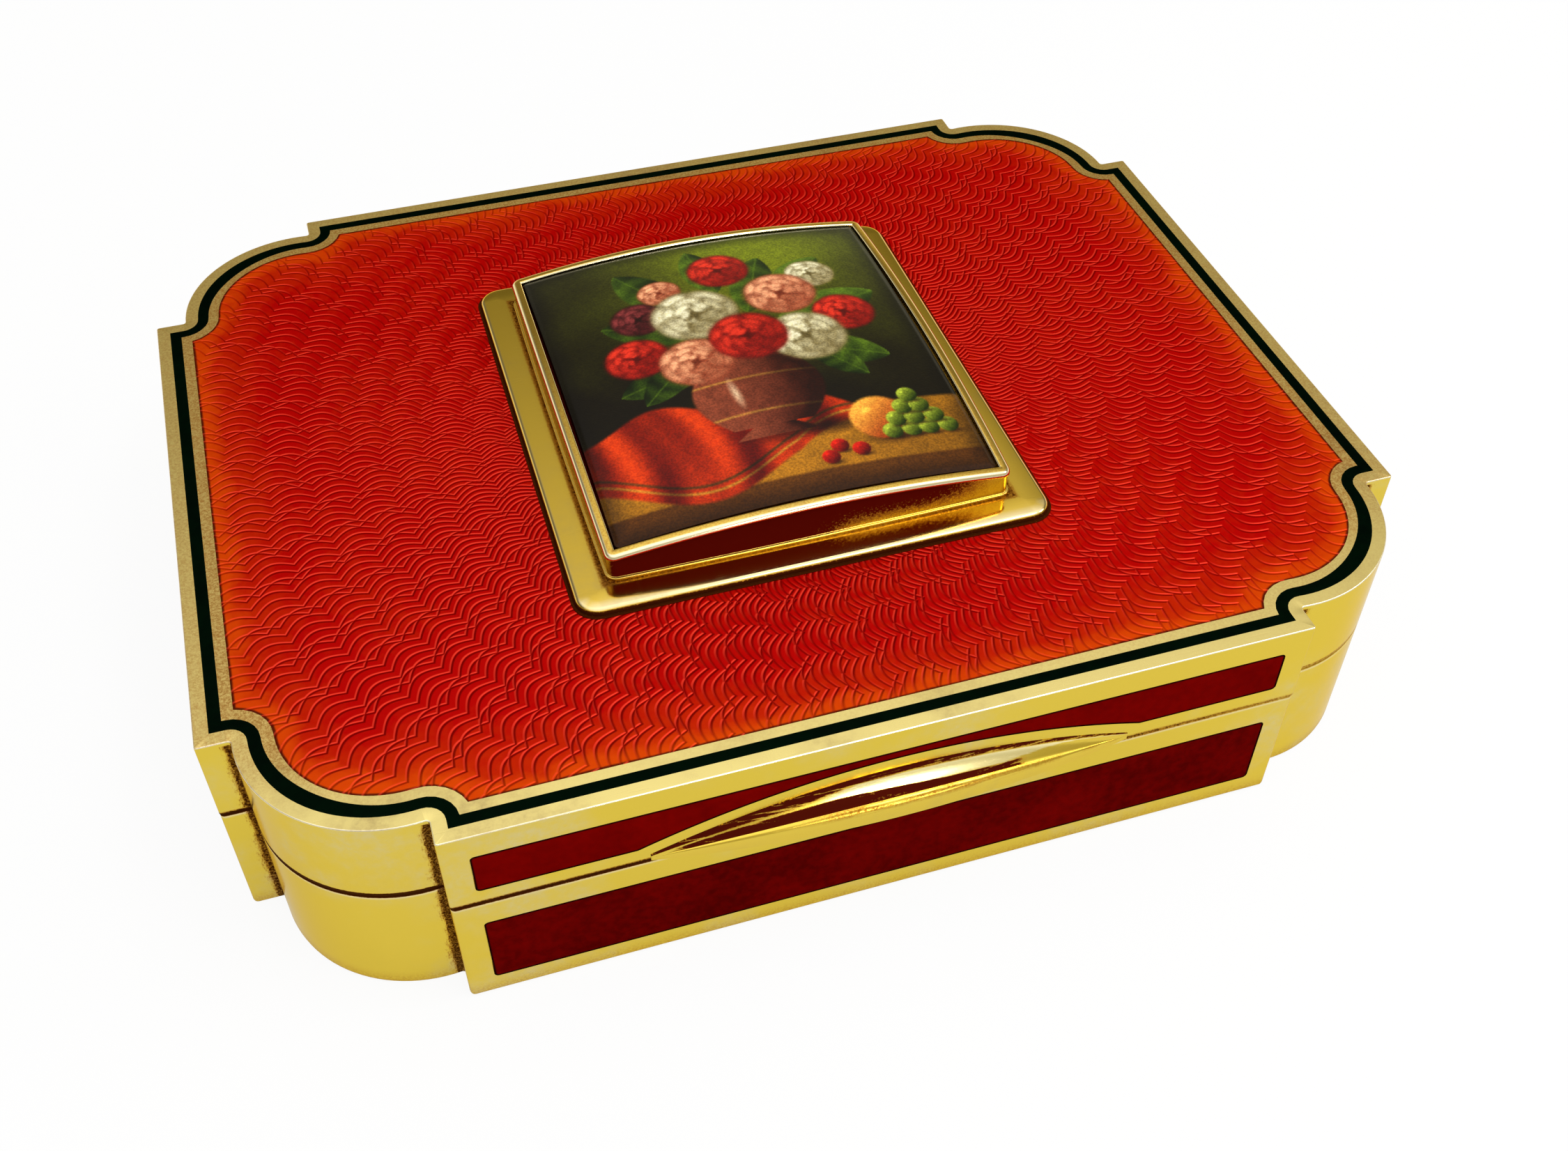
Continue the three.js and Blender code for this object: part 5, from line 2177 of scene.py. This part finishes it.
    def finished(self) -> np.ndarray:
        """Paint everything and give the linear colours.

        Returns:
            Rows of columns of red, green and blue, from the lowest row up.
        """
        self.backdrop()
        self.ledge()
        self.cloth()
        self.urn()
        self.bouquet()
        self.fruit()
        self.paint *= (1 + self.uneven(0.06, 0.035))[..., None]
        shade = np.clip(np.minimum(0.88 - np.abs(self.x), 1 - np.abs(self.y)) / 0.1, 0, 1)
        self.paint *= (0.55 + 0.45 * shade)[..., None]
        return np.clip(self.paint, 0, 1) ** 2.2


@dataclass
class Mount(Shell):
    """The mount on the lid: plate, crowned bezel, painted plaque, studs and nuts."""

    plate: RoundedPlan = RoundedPlan(44.7, 49.2, 2.2)
    plate_thickness: float = 0.8
    plate_ledge: float = 0.3
    rim_plan: RoundedPlan = RoundedPlan(37.8, 42.7, 0.8, bow=0.2, side_steps=30)
    rim_height: float = 3.6
    rim_wall: float = 0.85
    collar: float = 0.24
    collar_top: float = 1.15
    lip: float = 0.15
    lip_height: float = 0.55
    arch_across: float = 1.45
    arch_along: float = 1.0
    plaque_sink: float = 0.15
    plaque_gap: float = 0.15
    plaque_thickness: float = 1.1
    plaque_corner: float = 0.4
    plaque_roll: float = 0.12
    ledge_width: float = 1.2
    ledge_level: float = 2.2
    columns: int = 278
    rows: int = 318

    def rise(self, x: float, y: float) -> float:
        """Give the crown's rise over its corners.

        Args:
            x: Place across.
            y: Place along.

        Returns:
            The rise.
        """
        u, v = 2 * x / self.rim_plan.across, 2 * y / self.rim_plan.along
        return self.arch_across * (1 - u * u) + self.arch_along * (1 - v * v)

    def build_plate(self) -> None:
        """Build the plate with its rolled edge."""
        top = self.lid_top + self.plate_thickness
        foot, ledge = -self.plate_ledge, self.lid_top + 0.1
        path = rounded(
            (3.0, self.lid_top, 0),
            (foot + 0.04, self.lid_top, 0),
            (foot, ledge, 0.06),
            (0.0, ledge, 0.03),
            (0.0, top - 0.1, 0.54),
            (1.3, top - 0.03, 0),
            steps=6,
        )
        path += [(1.9, top - 0.01), (2.5, top), (2.95, top), (4.5, top)]
        bm = sweep(self.plate, path)
        half_x, half_y = self.rim_plan.across / 2 + self.collar, self.rim_plan.along / 2 + self.collar

        def grime_and_shade(place: Vector) -> float:
            """Give the dirt at the bezel's foot and the painted shade under the rolled edge.

            Args:
                place: Place on the plate.

            Returns:
                The dirt and painted shade there.
            """
            # Painted shade on the plate's side under the rolled edge.
            if place.z < top - 0.3:
                return 1.6
            return 1.0 - ramp(max(abs(place.x) - half_x, abs(place.y) - half_y), 0.0, 0.9)

        def wear_and_highlight(place: Vector) -> float:
            """Give the painted highlight on the rolled edge, which is broadest at the front.

            Args:
                place: Place on the plate.

            Returns:
                The painted highlight there.
            """
            inset = min(self.plate.across / 2 - abs(place.x), self.plate.along / 2 - abs(place.y))
            broad = 0.45 + 1.0 * ramp(-place.y, self.plate.along / 2 - 2.1, self.plate.along / 2 - 1.3)
            return 0.5 * float(place.z > top - 0.24) * (1 - ramp(inset, 0.3, broad))

        mark(bm, "grime_and_shade", grime_and_shade)
        mark(bm, "wear_and_highlight", wear_and_highlight)
        gilt = [self.finishes.mount_gilt]
        self.bench.piece(bm, "mount_base_plate", Body.LID, Slot.GILT, gilt, ["mount_plate"])

    def build_bezel(self) -> None:
        """Build the bezel: collar, wall and crowned rim, with the ledge inside."""
        foot = self.plate_thickness
        inner, ledge = self.rim_wall, self.rim_wall + self.ledge_width
        path = rounded(
            (-self.collar, foot, 0),
            (-self.collar, self.collar_top, 0.1),
            (0.0, self.collar_top, 0.06),
            (0.0, self.rim_height - self.lip_height, 0.03),
            (-self.lip, self.rim_height - self.lip_height + 0.06, 0.05),
            (-self.lip, self.rim_height, 0.4),
            (inner, self.rim_height, 0.25),
            (inner, self.ledge_level, 0),
            (ledge, self.ledge_level, 0),
            (ledge, foot, 0),
            (-self.collar, foot, 0),
        )
        bm = sweep(self.rim_plan, path, capped=False)
        mark(bm, "grime_and_shade", self.rim_patina_and_reflection)
        # The rim's rounded top is paler: rubbed edge and painted highlight.
        mark(bm, "wear_and_highlight", lambda place: 0.8 * float(self.rim_height - 0.35 < place.z < self.rim_height - 0.02))
        for vert in bm.verts:
            if vert.co.z > self.collar_top + 0.2:
                vert.co.z += self.rise(vert.co.x, vert.co.y)
        shift(bm, (0, 0, self.lid_top))
        self.bench.piece(bm, "mount_rim", Body.LID, Slot.GILT, [self.finishes.rim_gilt], ["mount_bezel"])

    def rim_patina_and_reflection(self, place: Vector) -> float:
        """Give the bezel's marks: patina on its rim and collar, and on its wall a painted dark reflection of
        the red field with painted shade.

        Args:
            place: Place on the bezel before it is crowned.

        Returns:
            The patina and painted reflection there.
        """
        if place.z > self.rim_height - 0.02:
            return 0.3
        if place.z > self.rim_height - 0.42:
            return 0.0
        if place.z < self.collar_top + 0.02:
            return 0.22
        # Painted dark reflection on the wall, darkest at the left and reaching further right in the upper
        # band.
        shift = 13.0 if place.z > self.rim_height - 0.9 else 0.0
        side = ramp(place.x, -self.rim_plan.across / 2, -self.rim_plan.across / 2 + 0.7)
        return 0.3 + side * (2.1 - 2.2 * ramp(place.x, shift - 4.0, shift + 5.0))

    def build_plaque(self) -> None:
        """Build the domed plaque with the painting on its points."""
        half_x = self.rim_plan.across / 2 - self.rim_wall - self.plaque_gap
        half_y = self.rim_plan.along / 2 - self.rim_wall - self.plaque_gap
        painting = StillLife(self.columns, self.rows, half_x / half_y).finished()
        bm = bmesh.new()
        bmesh.ops.create_grid(bm, x_segments=self.columns - 1, y_segments=self.rows - 1, size=1.0)
        layer = bm.verts.layers.float_color.new("painting")
        level = self.lid_top + self.rim_height - self.plaque_sink
        for vert in bm.verts:
            column = round((vert.co.x + 1) / 2 * (self.columns - 1))
            row = round((vert.co.y + 1) / 2 * (self.rows - 1))
            vert[layer] = (*painting[row, column], 1.0)
            x, y = vert.co.x * half_x, vert.co.y * half_y
            past_x = max(abs(x) - half_x + self.plaque_corner, 0)
            past_y = max(abs(y) - half_y + self.plaque_corner, 0)
            over = Vector((past_x, past_y))
            if over.length > self.plaque_corner:
                pull = self.plaque_corner / over.length
                x -= math.copysign(over.x * (1 - pull), x)
                y -= math.copysign(over.y * (1 - pull), y)
            edge = min(half_x - abs(x), half_y - abs(y))
            vert.co = (x, y, level + self.rise(x, y) - self.plaque_roll * (1 - ramp(edge, 0.0, 0.5)))
        rim = [edge for edge in bm.edges if edge.is_boundary]
        skirt = bmesh.ops.extrude_edge_only(bm, edges=rim)["geom"]
        lowered = [g for g in skirt if isinstance(g, bmesh.types.BMVert)]
        bmesh.ops.translate(bm, verts=lowered, vec=(0, 0, self.plaque_roll - self.plaque_thickness))
        bmesh.ops.edgeloop_fill(bm, edges=[edge for edge in bm.edges if edge.is_boundary])
        bmesh.ops.recalc_face_normals(bm, faces=bm.faces[:])
        painted = [self.finishes.painted]
        self.bench.piece(bm, "mount_painting", Body.LID, Slot.PAINTED, painted, ["mount_plaque"])

    def build(self) -> None:
        """Build the whole mount."""
        self.build_plate()
        self.build_bezel()
        self.build_plaque()
        for i in range(1, 5):
            self.bench.keep(f"mount_stud_{i}", self.finishes.inside_gilt)
            self.bench.keep(f"mount_nut_{i}", self.finishes.steel, 0.1)


# Stage


def aimed(
    name: str, data: bpy.types.ID, place: Sequence[float], aim: Sequence[float], roll: float = 0.0
) -> bpy.types.Object:
    """Set a lamp or the camera up where it looks at a point.

    Args:
        name: Name of the object.
        data: Data of the lamp or the camera.
        place: Where it stands.
        aim: The point that it looks at.
        roll: How far it is turned about its line of sight, in radians.

    Returns:
        The object.
    """
    thing = linked(name, data)
    thing.location = place
    thing.rotation_mode = "QUATERNION"
    look = Vector(aim) - Vector(place)
    thing.rotation_quaternion = look.to_track_quat("-Z", "Y") @ Quaternion((0, 0, 1), roll)
    return thing


@dataclass(frozen=True)
class SoftLight:
    """A rectangular studio light."""

    name: str
    place: tuple[float, float, float]
    aim: tuple[float, float, float]
    size: tuple[float, float]
    power: float

    def build(self) -> None:
        """Hang the light."""
        data = bpy.data.lights.new(self.name, "AREA")
        data.shape = "RECTANGLE"
        data.size, data.size_y = self.size
        data.energy = self.power
        aimed(self.name, data, self.place, self.aim)


@dataclass(frozen=True)
class Studio:
    """Camera, floor, surroundings and lights, in metres."""

    camera_place: tuple[float, float, float] = (-0.03562, -0.12290, 0.12746)
    camera_aim: tuple[float, float, float] = (-0.003845, -0.024471, 0.0223)
    camera_roll: float = math.radians(0.42)
    lens: float = 38.196
    sensor: float = 36.0
    nearest: float = 0.005
    floor_half: float = 6.0
    floor_drop: float = 0.00005
    floor_colour: Colour = (0.8, 0.8, 0.8, 1.0)
    wall_tint: Colour = (1.0, 0.93, 0.7, 1.0)
    ceiling_tint: Colour = (1.0, 1.0, 1.02, 1.0)
    floor_glow: float = 0.92
    mirrored_glow: float = 0.62
    mirrored_level: float = 0.8
    lights: tuple[SoftLight, ...] = (
        SoftLight("front_light", (0.1, -0.5, 0.17), (0, 0, 0.01), (0.09, 0.1), 0.42),
        SoftLight("right_light", (0.24, -0.06, 0.2), (0, 0, 0.02), (0.08, 0.08), 0.12),
        SoftLight("overhead_light", (0.17, -0.15, 0.46), (0, 0, 0.02), (0.2, 0.1), 0.6),
    )

    def build_camera(self) -> None:
        """Set the camera up at the photograph's viewpoint."""
        data = bpy.data.cameras.new("camera")
        data.sensor_width = self.sensor
        data.lens = self.lens
        data.clip_start = self.nearest
        camera = aimed("camera", data, self.camera_place, self.camera_aim, self.camera_roll)
        bpy.context.scene.camera = camera

    def build_floor(self) -> None:
        """Lay the pale floor, which looks white and still takes a soft shadow."""
        bm = bmesh.new()
        bmesh.ops.create_grid(bm, x_segments=1, y_segments=1, size=self.floor_half)
        shift(bm, (0, 0, -self.floor_drop))
        floor = linked("floor", loose_mesh(bm, "floor"))
        material = bpy.data.materials.new("floor_white")
        material.use_nodes = True
        graph = Graph(material.node_tree)
        matt = graph.node("ShaderNodeBsdfDiffuse")
        matt.inputs["Color"].default_value = self.floor_colour
        glow = graph.node("ShaderNodeEmission")
        paths = graph.node("ShaderNodeLightPath").outputs
        seen = graph.sum("MAXIMUM", paths["Is Camera Ray"], paths["Is Transmission Ray"])
        seen = graph.sum("MULTIPLY", seen, self.floor_glow)
        mirrored = graph.sum("MULTIPLY", paths["Is Glossy Ray"], self.mirrored_glow)
        dimmed = graph.sum("MULTIPLY_ADD", paths["Is Glossy Ray"], self.mirrored_level - 1, 1.0)
        graph.feed(glow.inputs["Strength"], dimmed)
        graph.finish_mixed(graph.sum("MAXIMUM", seen, mirrored), matt, glow, "ShaderNodeOutputMaterial")
        dress(floor, [material])

    def build_world(self) -> None:
        """Surround the box with a pale room: walls that darken upwards and a bright ceiling."""
        world = bpy.data.worlds.new("studio")
        world.use_nodes = True
        bpy.context.scene.world = world
        graph = Graph(world.node_tree)
        across, away, up = graph.apart(graph.node("ShaderNodeTexCoord").outputs["Generated"])
        tilted = graph.sum("MULTIPLY_ADD", across, 0.05, up)
        wall = graph.between(up, 0.15, 0.42, start=1.0, end=0.2)
        back = graph.between(tilted, 0.5, 0.95, start=wall, end=1.5)
        front = graph.between(up, 0.45, 0.8, start=0.5, end=1.3)
        side = graph.between(away, -0.3, 0.1)
        level = graph.sum("MULTIPLY_ADD", side, graph.sum("SUBTRACT", back, front), front)
        tint = graph.mix(graph.between(up, 0.5, 0.8), self.wall_tint, self.ceiling_tint)
        room = graph.node("ShaderNodeBackground")
        graph.feed(room.inputs["Strength"], level)
        graph.feed(room.inputs["Color"], tint)
        white = graph.node("ShaderNodeBackground")
        white.inputs["Color"].default_value = WHITE
        seen = graph.node("ShaderNodeLightPath").outputs["Is Camera Ray"]
        graph.finish_mixed(seen, room, white, "ShaderNodeOutputWorld")

    def build(self) -> None:
        """Build the whole stage."""
        self.build_camera()
        self.build_floor()
        self.build_world()
        for light in self.lights:
            light.build()
        bpy.context.scene.view_settings.view_transform = "Standard"


def main() -> None:
    """Build the box round its frame."""
    logging.basicConfig(level=logging.INFO, format="%(name)s: %(message)s")
    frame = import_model()
    Studio().build()
    plan = BoxPlan()
    finishes = Finishes(Effects(plan))
    bench = Workbench(frame["nodes"])
    for part in (Base, Lid, Hinge, Mount):
        part(bench, finishes, plan).build()


if __name__ == "__main__":
    main()
